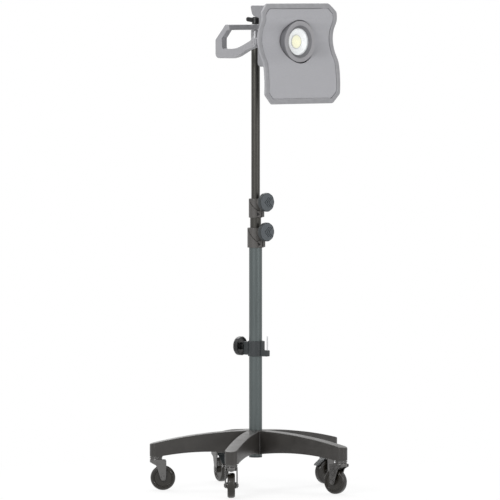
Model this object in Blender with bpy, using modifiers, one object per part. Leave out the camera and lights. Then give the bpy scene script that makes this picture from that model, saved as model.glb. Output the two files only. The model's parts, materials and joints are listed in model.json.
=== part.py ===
"""A work light on a telescopic mast that stands on five castors.

Lengths are in metres, +Z is up and the light faces -Y. The origin is on the
floor under the middle of the base's outline, so the mast stands a little off it.
"""

import math

import bmesh
import bpy
from mathutils import Matrix, Vector

# Clearances
SEAT_GAP = 0.0003
SLIDE_GAP = 0.0002
MERGE_DISTANCE = 0.00001
THROUGH = 0.002

# Castors
ARM_COUNT = 5
FIRST_ARM_ANGLE = math.radians(-2.9)
BRAKED_CASTORS = (1, 2)
CASTOR_TURNS = (0, 0, 0, 14, -5)
WHEEL_RADIUS = 0.0375
TYRE_WIDTH = 0.0225
TYRE_DEPTH = 0.0082
TYRE_SHOULDER = 0.002
WHEEL_FACETS = 22
CORE_FACETS = 12
WHEEL_HUB_RADIUS = 0.009
WEB_THICKNESS = 0.010
CORE_RIM_WALL = 0.003
CASTOR_TRAIL = 0.0205
WHEEL_TOP_GAP = 0.008
FORK_GAP = 0.0305
LEG_THICKNESS = 0.004
LEG_TIP_RADIUS = 0.0085
CROWN_HEIGHT = 0.011
CROWN_INSET = 0.0004
CROWN_FRONT = 0.019
CROWN_BACK = 0.020
LEG_BACK = 0.030
AXLE_RADIUS = 0.004
AXLE_HEAD_RADIUS = 0.0065
AXLE_HEAD_HEIGHT = 0.0022
SWIVEL_BEARING_HEIGHT = 0.008
RACE_RADIUS = 0.0195
RACE_HEIGHT = 0.004
RACE_NECK_RADIUS = 0.0135
KINGPIN_RADIUS = 0.005
RIVET_RADIUS = 0.008
RIVET_HEIGHT = 0.003
STEM_RADIUS = 0.0055
STEM_LENGTH = 0.024
PEDAL_PIVOT_BACK = 0.025
PEDAL_PIVOT_DROP = 0.010
PEDAL_BARREL_RADIUS = 0.0035
PEDAL_PIN_RADIUS = 0.0022
PEDAL_THICKNESS = 0.0025
PEDAL_WIDTH = 0.026
PEDAL_REACH = 0.044
PEDAL_SLOPE = math.radians(35.5)

# Base casting
SWIVEL_CIRCLE_RADIUS = 0.300
ARM_WIDTH = 0.038
ARM_WALL = 0.0045
ARM_END_HEIGHT = 0.0375
ARM_ARCH = 0.0395
UNDERSIDE_RISE = 0.014
UNDERSIDE_PEAK_RADIUS = 0.140
UNDERSIDE_DROP = 0.012
HUB_RADIUS = 0.034
HUB_LIP = 0.0005
HUB_FOOT = 0.0030
CHANNEL_INNER_RADIUS = 0.050
STEM_POCKET_WALL = 0.006
ARCH_STEPS = 6

# Mast tubes, each one sliding in the next on a plastic bush
TUBE_WALL = 0.0015
UPPER_TUBE_DIAMETER = 0.026
UPPER_BUSH_THICKNESS = 0.0015
MID_BUSH_THICKNESS = 0.0012
BUSH_LENGTH = 0.025
BUSH_LIP = 0.0027
BUSH_LIP_BORE_INSET = 0.001
TUBE_FOOT_BELOW_HUB = 0.006
LOWER_TUBE_LENGTH = 0.658
MID_TUBE_LENGTH = 0.648
UPPER_TUBE_LENGTH = 0.680
COLLAR_TO_COLLAR = 0.0305
UPPER_TUBE_SHOWING = 0.459
FOOT_PLUG_DEPTH = 0.010
FOOT_PLUG_FLANGE = 0.0025
TUBE_FACETS = 20

# Clamp collars
COLLAR_GRIP = 0.029
LOWER_COLLAR_HEIGHT = 0.0595
UPPER_COLLAR_HEIGHT = 0.057
LOWER_COLLAR_WALL = 0.0047
UPPER_COLLAR_WALL = 0.0037
COLLAR_TOP_CHAMFER = 0.0015
LOWER_KNOB_DROP = 0.0115
UPPER_KNOB_DROP = 0.0100
KNOB_BOSS_RADIUS = 0.0135
KNOB_BOSS_REACH = 0.037
EAR_HEIGHT = 0.018
EAR_FOOT = 0.002
EAR_REACH = 0.0062
EAR_HALF_WIDTH = 0.012
EAR_SLOT = 0.0025
PINCH_BOLT_RADIUS = 0.0022
PINCH_HEAD_RADIUS = 0.0042
PINCH_HEAD_DEPTH = 0.004
PINCH_OFFSET = 0.0012
GUSSET_THICKNESS = 0.006
COLLAR_FACETS = 20

# Lock knobs
LOCK_KNOB_RADIUS = 0.0285
LOCK_KNOB_THICKNESS = 0.0155
LOCK_KNOB_EDGE = 0.003
KNOB_STEM_RADIUS = 0.004
SHOE_RADIUS = 0.0055
SHOE_LENGTH = 0.005
KNOB_FACETS = 18

# Cable hook clamp on the lower tube
HOOK_TURN = math.radians(13)
HOOK_BOTTOM_ABOVE_HUB = 0.2235
HOOK_HEIGHT = 0.046
HOOK_RING_WALL = 0.003
LUG_REACH = 0.039
LUG_HALF_WIDTH = 0.009
LUG_INSET = 0.003
HOOK_ARM_HEIGHT = 0.0185
HOOK_ARM_REACH = 0.047
HOOK_ARM_HALF_WIDTH = 0.007
HOOK_WALL_REACH = 0.029
HOOK_PIN_RADIUS = 0.002
HOOK_PIN_REACH = 0.0428
HOOK_PIN_SHOWING = 0.0425
HOOK_PIN_SEAT = 0.011
HOOK_KNOB_RADIUS = 0.0285
HOOK_KNOB_THICKNESS = 0.016
HOOK_KNOB_STANDOFF = 0.0095
HOOK_KNOB_RECESS = 0.005
HOOK_KNOB_RIM = 0.003
HOOK_NECK_RADIUS = 0.010
HOOK_KNOB_LEVEL = 0.0285

# Top of the mast
ADAPTER_RADIUS = 0.014
ADAPTER_LENGTH = 0.0465
SPIGOT_LENGTH = 0.035
STUD_RADIUS = 0.0049
STUD_THREAD = 0.015
WING_SPAN = 0.057
WING_THICKNESS = 0.010
WING_HEIGHT = 0.017
WING_LIFT = 0.006
WING_HUB_RADIUS = 0.011
WING_TURN = math.radians(-43)

# Bail handle that carries the light
BAIL_HALF_WIDTH = 0.121
BAIL_ARM_THICKNESS = 0.022
BAIL_BAND = 0.028
BAIL_BAR_HEIGHT = 0.0165
BAIL_BACK = 0.047
BAIL_SHOULDER_DROP = 0.0455
BAIL_DEPTH = 0.1005
BAIL_SWEEP_LOW = ((0.020, 0), (0.042, 0.0045), (0.064, 0.0135), (0.088, 0.0245))
BAIL_SWEEP_HIGH = ((0.105, 0.0255), (0.085, 0.017), (0.065, 0.009), (0.045, 0.003), (0.022, 0))
PIVOT_FORWARD = 0.118
PIVOT_DROP = 0.0525
BAIL_EYE_RADIUS = 0.014
PIVOT_BOLT_RADIUS = 0.004
PIVOT_HEAD_RADIUS = 0.009
PIVOT_HEAD_HEIGHT = 0.0016
PIVOT_BOLT_GRIP = 0.007

# Light body, in heights above the tilt axis and distances forward of it
LIGHT_HALF_WIDTH = 0.1535
LIGHT_TOP = 0.116
LIGHT_BOTTOM = -0.1825
TOP_CHAMFER = 0.026
BOTTOM_CHAMFER = 0.028
RIM_WIDTH = 0.015
RIM_DEPTH = 0.006
PANEL_RECESS = 0.0015
PANEL_THICKNESS = 0.0045
FRONT_CURVE = (
    (-0.1825, 0.087),
    (-0.157, 0.089),
    (-0.115, 0.090),
    (-0.064, 0.084),
    (-0.027, 0.066),
    (0.004, 0.058),
    (0.034, 0.061),
    (0.065, 0.075),
    (0.095, 0.073),
    (0.116, 0.066),
)
FRONT_CURVE_STEPS = 2
LENS_HEIGHT = 0.002
BEZEL_RADIUS = 0.063
BEZEL_CLEARANCE = 0.0015
BEZEL_FRONT = 0.0765
BEZEL_MOUTH_RADIUS = 0.048
LENS_RADIUS = 0.044
LENS_VISIBLE_RADIUS = 0.0395
LENS_FRONT = 0.0685
LENS_THICKNESS = 0.003
REFLECTOR_WALL = 0.0015
LED_RADIUS = 0.0205
LED_BASE_RADIUS = 0.028
LED_BASE_THICKNESS = 0.003
LED_CAP_THICKNESS = 0.002
SINK_FRONT = 0.0367
SINK_PLATE = 0.006
SINK_HALF_HEIGHT = 0.058
PEDESTAL_RADIUS = 0.036
PEDESTAL_FRONT = 0.0555
FIN_COUNT = 7
FIN_PITCH = 0.020
FIN_THICKNESS = 0.0025
FIN_DEPTH = 0.020
ROUND_FACETS = 24

# Rear housing of the light
HOUSING_HALF_WIDTH = 0.0985
HOUSING_WALL = 0.003
HOUSING_TOP = 0.110
HOUSING_BOTTOM = -0.072
HOUSING_BACK = -0.005
SADDLE_BACK = 0.001
SADDLE_TOP = 0.005
SADDLE_BOTTOM = -0.005
HEAD_BACK = -0.037
HEAD_BOTTOM = 0.0725
HEAD_SLANT = 0.007
HEAD_SLANT_BOTTOM = 0.085
HEAD_CORNER = 0.003
CORNER_CUT = 0.008
PIVOT_LUG_RADIUS = 0.013
PIVOT_LUG_DEPTH = 0.012
PIVOT_LUG_INSET = 0.0005
BAY_HALF_WIDTH = 0.066
BAY_BACK = 0.037
BAY_BOTTOM = -0.125
PACK_HALF_WIDTH = 0.0625
PACK_BACK = 0.0403
PACK_DEPTH = 0.030
PACK_TOP = -0.0725
PACK_BOTTOM = -0.163
PACK_GRIP_BOTTOM_GAP = 0.002
BUTTON_RADIUS = 0.008
BUTTON_ACROSS = 0.080
BUTTON_HEIGHT = -0.035
BUTTON_PROUD = 0.0025
BUTTON_LENGTH = 0.009

# Levels worked out from the floor up
AXLE_LEVEL = WHEEL_RADIUS
CROWN_BOTTOM = 2 * WHEEL_RADIUS + WHEEL_TOP_GAP
CROWN_TOP = CROWN_BOTTOM + CROWN_HEIGHT
ARM_END_BOTTOM = CROWN_TOP + SWIVEL_BEARING_HEIGHT
ARM_END_TOP = ARM_END_BOTTOM + ARM_END_HEIGHT
HUB_TOP = ARM_END_TOP + ARM_ARCH
UNDERSIDE_PEAK = ARM_END_BOTTOM + UNDERSIDE_RISE
FORK_HALF_WIDTH = FORK_GAP / 2 + LEG_THICKNESS
ARM_REACH = SWIVEL_CIRCLE_RADIUS + ARM_WIDTH / 2

# Radii worked out from the inner tube outwards
UPPER_TUBE_RADIUS = UPPER_TUBE_DIAMETER / 2
UPPER_BUSH_BORE = UPPER_TUBE_RADIUS + SEAT_GAP
UPPER_BUSH_RADIUS = UPPER_BUSH_BORE + UPPER_BUSH_THICKNESS
MID_TUBE_BORE = UPPER_BUSH_RADIUS + SLIDE_GAP
MID_TUBE_RADIUS = MID_TUBE_BORE + TUBE_WALL
MID_BUSH_BORE = MID_TUBE_RADIUS + SEAT_GAP
MID_BUSH_RADIUS = MID_BUSH_BORE + MID_BUSH_THICKNESS
LOWER_TUBE_BORE = MID_BUSH_RADIUS + SLIDE_GAP
LOWER_TUBE_RADIUS = LOWER_TUBE_BORE + TUBE_WALL


def underside_level(radius):
    """Height of the arms' underside at a distance from the mast."""
    run = SWIVEL_CIRCLE_RADIUS - ARM_WIDTH / 2 - UNDERSIDE_PEAK_RADIUS
    return UNDERSIDE_PEAK - UNDERSIDE_DROP * ((radius - UNDERSIDE_PEAK_RADIUS) / run) ** 2


def topside_level(radius):
    """Height of the arms' arched top at a distance from the mast."""
    return HUB_TOP - ARM_ARCH * (radius / ARM_REACH) ** 2


HUB_BOTTOM = underside_level(HUB_RADIUS) - HUB_FOOT
LOWER_TUBE_BOTTOM = HUB_BOTTOM - TUBE_FOOT_BELOW_HUB
LOWER_TUBE_TOP = LOWER_TUBE_BOTTOM + LOWER_TUBE_LENGTH
LOWER_COLLAR_BOTTOM = LOWER_TUBE_TOP - COLLAR_GRIP
LOWER_COLLAR_TOP = LOWER_COLLAR_BOTTOM + LOWER_COLLAR_HEIGHT
UPPER_COLLAR_BOTTOM = LOWER_COLLAR_TOP + COLLAR_TO_COLLAR
UPPER_COLLAR_TOP = UPPER_COLLAR_BOTTOM + UPPER_COLLAR_HEIGHT
MID_TUBE_TOP = UPPER_COLLAR_BOTTOM + COLLAR_GRIP
MID_TUBE_BOTTOM = MID_TUBE_TOP - MID_TUBE_LENGTH
UPPER_TUBE_TOP = UPPER_COLLAR_TOP + UPPER_TUBE_SHOWING
UPPER_TUBE_BOTTOM = UPPER_TUBE_TOP - UPPER_TUBE_LENGTH
ADAPTER_TOP = UPPER_TUBE_TOP + SEAT_GAP + ADAPTER_LENGTH
BAIL_BAR_BOTTOM = ADAPTER_TOP + SEAT_GAP
BAIL_BAR_TOP = BAIL_BAR_BOTTOM + BAIL_BAR_HEIGHT
PIVOT_LEVEL = BAIL_BAR_TOP - PIVOT_DROP
HOOK_BOTTOM = HUB_TOP + HOOK_BOTTOM_ABOVE_HUB

arm_angles = [FIRST_ARM_ANGLE + math.tau * i / ARM_COUNT for i in range(ARM_COUNT)]
across = [math.cos(angle) for angle in arm_angles]
along = [math.sin(angle) for angle in arm_angles]
MAST_X = -SWIVEL_CIRCLE_RADIUS * (max(across) + min(across)) / 2
MAST_Y = -SWIVEL_CIRCLE_RADIUS * (max(along) + min(along)) / 2

for old in list(bpy.data.objects):
    bpy.data.objects.remove(old)

parts = bpy.data.collections.new("work_light_stand")
cutters = bpy.data.collections.new("cutters")
bpy.context.scene.collection.children.link(parts)
bpy.context.scene.collection.children.link(cutters)


# Materials

def material(name, colour, roughness, metallic=0.0):
    """A plain material from a linear colour."""
    made = bpy.data.materials.new(name)
    made.use_nodes = True
    shader = made.node_tree.nodes["Principled BSDF"]
    shader.inputs["Base Color"].default_value = (*colour, 1)
    shader.inputs["Roughness"].default_value = roughness
    shader.inputs["Metallic"].default_value = metallic
    return made


CAST = material("charcoal_casting", (0.055, 0.053, 0.050), 0.42, 0.6)
TUBE = material("anodised_tube", (0.085, 0.090, 0.092), 0.35, 0.8)
DARK_TUBE = material("dark_tube", (0.070, 0.070, 0.062), 0.38, 0.8)
BLACK = material("black_plastic", (0.030, 0.032, 0.033), 0.5)
SLATE = material("slate_plastic", (0.075, 0.082, 0.088), 0.45)
STEEL = material("bright_steel", (0.55, 0.55, 0.56), 0.25, 1.0)
DARK_STEEL = material("dark_steel", (0.060, 0.060, 0.058), 0.35, 0.8)
WHEEL = material("wheel_plastic", (0.055, 0.052, 0.048), 0.3)
LIGHT_GREY = material("light_grey_plastic", (0.38, 0.38, 0.40), 0.5)
MID_GREY = material("mid_grey_plastic", (0.27, 0.27, 0.28), 0.55)
NYLON = material("white_nylon", (0.70, 0.70, 0.68), 0.5)
WHITE = material("white_reflector", (0.85, 0.85, 0.85), 0.25)
LENS = material("clear_lens", (0.90, 0.92, 0.92), 0.05)
YELLOW = material("led_yellow", (0.90, 0.86, 0.50), 0.4)
ALUMINIUM = material("plain_aluminium", (0.50, 0.50, 0.51), 0.4, 1.0)


# Modelling tools

def new_object(name, mesh):
    made = bpy.data.objects.new(name, mesh)
    parts.objects.link(made)
    return made


def from_bmesh(name, shape):
    mesh = bpy.data.meshes.new(name)
    shape.to_mesh(mesh)
    shape.free()
    return new_object(name, mesh)


def box(name, low, high):
    """A block between two opposite corners."""
    low = Vector(low)
    high = Vector(high)
    shape = bmesh.new()
    matrix = Matrix.Translation((low + high) / 2) @ Matrix.Diagonal((*(high - low), 1))
    bmesh.ops.create_cube(shape, size=1, matrix=matrix)
    return from_bmesh(name, shape)


def rod(name, start, end, radius, facets=16):
    """A round bar between two points."""
    start = Vector(start)
    end = Vector(end)
    length = end - start
    turn = length.to_track_quat("Z", "Y").to_matrix().to_4x4()
    shape = bmesh.new()
    bmesh.ops.create_cone(
        shape,
        cap_ends=True,
        segments=facets,
        radius1=radius,
        radius2=radius,
        depth=length.length,
        matrix=Matrix.Translation((start + end) / 2) @ turn,
    )
    return from_bmesh(name, shape)


def turned(name, profile, facets, tilt=0.0):
    """A turned piece. Its (radius, height) profile runs down the outer side, then closes."""
    points = [(radius, 0, height) for radius, height in profile]
    edges = [(i, i + 1) for i in range(len(points) - 1)]
    if min(radius for radius, _ in profile) > 0:
        edges.append((len(points) - 1, 0))
    mesh = bpy.data.meshes.new(name)
    mesh.from_pydata(points, edges, [])
    made = new_object(name, mesh)
    made.rotation_euler.x = tilt
    screw = made.modifiers.new("turn", "SCREW")
    screw.steps = facets
    screw.render_steps = facets
    screw.use_merge_vertices = True
    screw.merge_threshold = MERGE_DISTANCE
    return made


# Ways to stand a flat outline up before it is thickened
FLAT = Matrix.Identity(4)
FACING_FRONT = Matrix.Rotation(math.pi / 2, 4, "X")
FACING_SIDE = Matrix.Rotation(-math.pi / 2, 4, "Z") @ FACING_FRONT


def prism(name, outline, thickness, stand, offset=(0, 0, 0)):
    """A flat outline thickened evenly to both sides."""
    curve = bpy.data.curves.new(name, "CURVE")
    curve.dimensions = "2D"
    curve.fill_mode = "BOTH"
    curve.extrude = thickness / 2
    spline = curve.splines.new("POLY")
    spline.points.add(len(outline) - 1)
    for point, (x, y) in zip(spline.points, outline):
        point.co = (x, y, 0, 1)
    spline.use_cyclic_u = True
    guide = new_object(name + "_curve", curve)
    bpy.context.view_layer.update()
    evaluated = guide.evaluated_get(bpy.context.evaluated_depsgraph_get())
    mesh = bpy.data.meshes.new_from_object(evaluated)
    bpy.data.objects.remove(guide)
    shape = bmesh.new()
    shape.from_mesh(mesh)
    bmesh.ops.remove_doubles(shape, verts=shape.verts, dist=MERGE_DISTANCE)
    bmesh.ops.recalc_face_normals(shape, faces=shape.faces)
    shape.transform(Matrix.Translation(offset) @ stand)
    shape.to_mesh(mesh)
    shape.free()
    return new_object(name, mesh)


def combine(target, operation, tools):
    for tool in tools:
        modifier = target.modifiers.new(operation.lower(), "BOOLEAN")
        modifier.operation = operation
        modifier.object = tool
        tool.hide_render = True
        tool.display_type = "WIRE"
        parts.objects.unlink(tool)
        cutters.objects.link(tool)
    return target


def cut(target, *tools):
    return combine(target, "DIFFERENCE", tools)


def join(target, *tools):
    return combine(target, "UNION", tools)


def keep_common(target, tool):
    return combine(target, "INTERSECT", [tool])


def operands(target):
    """Every object that a piece's modifiers use, and theirs in turn."""
    found = []
    for modifier in target.modifiers:
        if modifier.type == "BOOLEAN":
            found += [modifier.object, *operands(modifier.object)]
    return found


def finish(target, parent, look):
    """Hang a piece and its cutters on a frame and give it its material."""
    for member in [target, *operands(target)]:
        member.parent = parent
    target.data.materials.clear()
    target.data.materials.append(look)
    return target


def frozen(target):
    """The finished mesh of a pattern piece, whose object and cutters then go."""
    bpy.context.view_layer.update()
    evaluated = target.evaluated_get(bpy.context.evaluated_depsgraph_get())
    mesh = bpy.data.meshes.new_from_object(evaluated)
    mesh.transform(target.matrix_basis)
    for member in [*operands(target), target]:
        bpy.data.objects.remove(member)
    return mesh


def copy_of(name, mesh, parent, look, location=(0, 0, 0)):
    """One more piece that shares a finished mesh."""
    made = finish(new_object(name, mesh), parent, look)
    made.location = location
    return made


def frame(name, parent=None, location=(0, 0, 0), turn=0.0):
    """An empty that carries the pieces of one moving group."""
    made = bpy.data.objects.new(name, None)
    parts.objects.link(made)
    made.parent = parent
    made.location = location
    made.rotation_euler.z = turn
    return made


def arc(centre, radius, start, end, steps):
    """Points along a round stretch of an outline, angles in degrees."""
    angles = [math.radians(start + (end - start) * i / steps) for i in range(steps + 1)]
    return [(centre[0] + radius * math.cos(a), centre[1] + radius * math.sin(a)) for a in angles]


def smooth_through(points, steps):
    """Points of a smooth curve that passes through the given ones."""
    ends = [points[0], *points, points[-1]]
    found = []
    for i in range(1, len(points)):
        before, start, end, after = (Vector(p) for p in ends[i - 1 : i + 3])
        for step in range(steps):
            t = step / steps
            pull = (end - before) * t + (2 * before - 5 * start + 4 * end - after) * t**2
            pull += (3 * start - before - 3 * end + after) * t**3
            found.append(tuple(start + pull / 2))
    return [*found, points[-1]]


# Castors, modelled once with the swivel axis at the origin and the wheel behind it

def castor_stem():
    """Stem, race ring, kingpin and the rivet head that traps the fork."""
    race_top = ARM_END_BOTTOM - SEAT_GAP - (SWIVEL_BEARING_HEIGHT - RACE_HEIGHT) / 2
    profile = [
        (0, ARM_END_BOTTOM + STEM_LENGTH),
        (STEM_RADIUS, ARM_END_BOTTOM + STEM_LENGTH),
        (STEM_RADIUS, ARM_END_BOTTOM - SEAT_GAP),
        (RACE_NECK_RADIUS, ARM_END_BOTTOM - SEAT_GAP),
        (RACE_NECK_RADIUS, race_top),
        (RACE_RADIUS, race_top),
        (RACE_RADIUS, race_top - RACE_HEIGHT),
        (RACE_NECK_RADIUS, race_top - RACE_HEIGHT),
        (RACE_NECK_RADIUS, CROWN_TOP + SEAT_GAP),
        (KINGPIN_RADIUS, CROWN_TOP + SEAT_GAP),
        (KINGPIN_RADIUS, CROWN_BOTTOM - SEAT_GAP),
        (RIVET_RADIUS, CROWN_BOTTOM - SEAT_GAP),
        (RIVET_RADIUS, CROWN_BOTTOM - SEAT_GAP - RIVET_HEIGHT),
        (0, CROWN_BOTTOM - SEAT_GAP - RIVET_HEIGHT),
    ]
    return frozen(turned("stem_pattern", profile, 12))


def castor_leg(side):
    """One raked cheek of the fork, wide at the crown and round at the axle."""
    outline = [
        (CROWN_FRONT - LEG_THICKNESS, CROWN_BOTTOM + CROWN_HEIGHT / 2),
        (-LEG_BACK, CROWN_BOTTOM + CROWN_HEIGHT / 2),
        (-LEG_BACK, CROWN_BOTTOM - WHEEL_TOP_GAP / 2),
    ]
    outline += arc((-CASTOR_TRAIL, AXLE_LEVEL), LEG_TIP_RADIUS, 190, 350, 6)
    outline += [
        (0, CROWN_BOTTOM - WHEEL_TOP_GAP),
        (CROWN_FRONT - LEG_THICKNESS, CROWN_BOTTOM),
    ]
    middle = side * (FORK_GAP + LEG_THICKNESS) / 2
    return prism("leg", outline, LEG_THICKNESS, FACING_FRONT, (0, middle, 0))


def castor_fork():
    half_width = FORK_HALF_WIDTH - CROWN_INSET
    plan = [(-CROWN_BACK, -half_width), *arc((0, 0), half_width, -90, 90, 8)]
    plan += [(-CROWN_BACK, half_width)]
    middle = (CROWN_BOTTOM + CROWN_TOP) / 2
    fork = prism("fork_pattern", plan, CROWN_HEIGHT, FLAT, (0, 0, middle))
    join(fork, castor_leg(-1), castor_leg(1))
    bore = rod(
        "kingpin_bore",
        (0, 0, CROWN_BOTTOM - THROUGH),
        (0, 0, CROWN_TOP + THROUGH),
        KINGPIN_RADIUS + SEAT_GAP,
        12,
    )
    side = FORK_HALF_WIDTH + THROUGH
    axle_hole = rod(
        "axle_hole",
        (-CASTOR_TRAIL, -side, AXLE_LEVEL),
        (-CASTOR_TRAIL, side, AXLE_LEVEL),
        AXLE_RADIUS + SEAT_GAP,
        10,
    )
    pivot_level = CROWN_TOP - PEDAL_PIVOT_DROP
    pedal_hole = rod(
        "pedal_hole",
        (-PEDAL_PIVOT_BACK, -side, pivot_level),
        (-PEDAL_PIVOT_BACK, side, pivot_level),
        PEDAL_PIN_RADIUS + SEAT_GAP,
        8,
    )
    return frozen(cut(fork, bore, axle_hole, pedal_hole))


def castor_axle():
    """The wheel's bolt, with a round head at each side."""
    head = FORK_HALF_WIDTH + SEAT_GAP
    end = head + AXLE_HEAD_HEIGHT
    profile = [
        (0, end),
        (AXLE_HEAD_RADIUS, end),
        (AXLE_HEAD_RADIUS, head),
        (AXLE_RADIUS, head),
        (AXLE_RADIUS, -head),
        (AXLE_HEAD_RADIUS, -head),
        (AXLE_HEAD_RADIUS, -end),
        (0, -end),
    ]
    return frozen(turned("axle_pattern", profile, 10, math.pi / 2))


def wheel_core():
    """Hub, web and rim of the wheel in one moulding."""
    rim = WHEEL_RADIUS - TYRE_DEPTH - SEAT_GAP
    half_rim = TYRE_WIDTH / 2 - SEAT_GAP
    half_hub = FORK_GAP / 2 - SEAT_GAP
    half_web = WEB_THICKNESS / 2
    bore = AXLE_RADIUS + SEAT_GAP
    upper = [
        (bore, half_hub),
        (WHEEL_HUB_RADIUS, half_hub),
        (WHEEL_HUB_RADIUS, half_web),
        (rim - CORE_RIM_WALL, half_web),
        (rim - CORE_RIM_WALL, half_rim),
        (rim, half_rim),
    ]
    lower = [(radius, -height) for radius, height in reversed(upper)]
    return frozen(turned("core_pattern", upper + lower, CORE_FACETS, math.pi / 2))


def wheel_tyre():
    """The tread ring. One of its facets lies flat on the floor."""
    tread = WHEEL_RADIUS / math.cos(math.pi / WHEEL_FACETS)
    seat = (WHEEL_RADIUS - TYRE_DEPTH) / math.cos(math.pi / WHEEL_FACETS)
    half = TYRE_WIDTH / 2
    profile = [
        (tread - TYRE_SHOULDER, half),
        (tread, half - TYRE_SHOULDER),
        (tread, TYRE_SHOULDER - half),
        (tread - TYRE_SHOULDER, -half),
        (seat, -half),
        (seat, half),
    ]
    return frozen(turned("tyre_pattern", profile, WHEEL_FACETS, math.pi / 2))


def brake_pedal():
    """A sloping foot plate on its own pivot pin, with the pivot at the origin."""
    barrel = rod(
        "pedal_pattern",
        (0, -PEDAL_WIDTH / 2, 0),
        (0, PEDAL_WIDTH / 2, 0),
        PEDAL_BARREL_RADIUS,
        12,
    )
    pin = rod(
        "pedal_pin",
        (0, -FORK_HALF_WIDTH, 0),
        (0, FORK_HALF_WIDTH, 0),
        PEDAL_PIN_RADIUS,
        8,
    )
    half = PEDAL_THICKNESS / 2
    plate = box(
        "pedal_plate",
        (-PEDAL_REACH, -PEDAL_WIDTH / 2 + CROWN_INSET, -half),
        (0, PEDAL_WIDTH / 2 - CROWN_INSET, half),
    )
    plate.rotation_euler.y = -PEDAL_SLOPE
    return frozen(join(barrel, pin, plate))


stand = frame("stand", location=(MAST_X, MAST_Y, 0))
stem_mesh = castor_stem()
fork_mesh = castor_fork()
axle_mesh = castor_axle()
core_mesh = wheel_core()
tyre_mesh = wheel_tyre()
pedal_mesh = brake_pedal()
axle_place = (-CASTOR_TRAIL, 0, AXLE_LEVEL)
pedal_place = (-PEDAL_PIVOT_BACK, 0, CROWN_TOP - PEDAL_PIVOT_DROP)
for number, angle in enumerate(arm_angles, 1):
    corner = (
        SWIVEL_CIRCLE_RADIUS * math.cos(angle),
        SWIVEL_CIRCLE_RADIUS * math.sin(angle),
        0,
    )
    turn = angle + math.radians(CASTOR_TURNS[number - 1])
    swivel = frame(f"castor_{number}_swivel", stand, corner, turn)
    copy_of(f"castor_{number}_stem", stem_mesh, swivel, DARK_STEEL)
    copy_of(f"castor_{number}_fork", fork_mesh, swivel, DARK_STEEL)
    copy_of(f"castor_{number}_axle", axle_mesh, swivel, STEEL, axle_place)
    copy_of(f"castor_{number}_wheel_core", core_mesh, swivel, WHEEL, axle_place)
    copy_of(f"castor_{number}_tyre", tyre_mesh, swivel, WHEEL, axle_place)
    if number in BRAKED_CASTORS:
        copy_of(f"castor_{number}_brake_pedal", pedal_mesh, swivel, BLACK, pedal_place)


# Base casting

def arm_shape():
    """One solid arm along +X, arched on top and rounded at its end."""
    inner = HUB_RADIUS / 2
    boss_edge = SWIVEL_CIRCLE_RADIUS - ARM_WIDTH / 2
    reach = ARM_REACH + THROUGH
    stops = [inner + (reach - inner) * i / ARCH_STEPS for i in range(ARCH_STEPS + 1)]
    top = [(radius, topside_level(radius)) for radius in stops]
    hollow = [inner + (boss_edge - inner) * i / ARCH_STEPS for i in range(ARCH_STEPS + 1)]
    bottom = [(radius, underside_level(radius)) for radius in reversed(hollow)]
    side = [*top, (reach, ARM_END_BOTTOM), (boss_edge, ARM_END_BOTTOM), *bottom]
    arm = prism("arm_pattern", side, 2 * ARM_WIDTH, FACING_FRONT)
    half = ARM_WIDTH / 2
    plan = [(0, -half), *arc((SWIVEL_CIRCLE_RADIUS, 0), half, -90, 90, 12), (0, half)]
    outline = prism("arm_outline", plan, 2 * HUB_TOP, FLAT)
    return frozen(keep_common(arm, outline))


def channel_shape():
    """The hollow under an arm, open downwards, between its walls."""
    outer = SWIVEL_CIRCLE_RADIUS - STEM_RADIUS - STEM_POCKET_WALL
    run = outer - CHANNEL_INNER_RADIUS
    stops = [CHANNEL_INNER_RADIUS + run * i / ARCH_STEPS for i in range(ARCH_STEPS + 1)]
    roof = [(radius, topside_level(radius) - ARM_WALL) for radius in stops]
    below = ARM_END_BOTTOM - THROUGH
    outline = [*roof, (outer, below), (CHANNEL_INNER_RADIUS, below)]
    return frozen(prism("channel_pattern", outline, ARM_WIDTH - 2 * ARM_WALL, FACING_FRONT))


def base_casting():
    hub = rod("base_casting", (0, 0, HUB_BOTTOM), (0, 0, HUB_TOP + HUB_LIP), HUB_RADIUS, 30)
    arm_mesh = arm_shape()
    channel_mesh = channel_shape()
    arms = []
    hollows = []
    for angle in arm_angles:
        arm = new_object("arm", arm_mesh)
        arm.rotation_euler.z = angle
        arms.append(arm)
        hollow = new_object("channel", channel_mesh)
        hollow.rotation_euler.z = angle
        hollows.append(hollow)
        x = SWIVEL_CIRCLE_RADIUS * math.cos(angle)
        y = SWIVEL_CIRCLE_RADIUS * math.sin(angle)
        hollows.append(
            rod(
                "stem_hole",
                (x, y, ARM_END_BOTTOM - THROUGH),
                (x, y, ARM_END_BOTTOM + STEM_LENGTH + SEAT_GAP),
                STEM_RADIUS + SEAT_GAP,
                12,
            )
        )
    bore = rod(
        "mast_bore",
        (0, 0, HUB_BOTTOM - THROUGH),
        (0, 0, HUB_TOP + HUB_LIP + THROUGH),
        LOWER_TUBE_RADIUS + SEAT_GAP,
        TUBE_FACETS,
    )
    join(hub, *arms)
    return cut(hub, *hollows, bore)


finish(base_casting(), stand, CAST)


# Mast tubes and bushes

def tube(name, radius, bottom, top):
    profile = [
        (radius, top),
        (radius, bottom),
        (radius - TUBE_WALL, bottom),
        (radius - TUBE_WALL, top),
    ]
    return turned(name, profile, TUBE_FACETS)


def foot_bush(name, bore, radius, tube_bottom):
    """A plastic sleeve round a tube's foot, with a lip under the tube's end."""
    lip_top = tube_bottom - SEAT_GAP
    lip_bore = bore - TUBE_WALL - BUSH_LIP_BORE_INSET
    profile = [
        (radius, tube_bottom + BUSH_LENGTH),
        (radius, lip_top - BUSH_LIP),
        (lip_bore, lip_top - BUSH_LIP),
        (lip_bore, lip_top),
        (bore, lip_top),
        (bore, tube_bottom + BUSH_LENGTH),
    ]
    return turned(name, profile, TUBE_FACETS)


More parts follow.
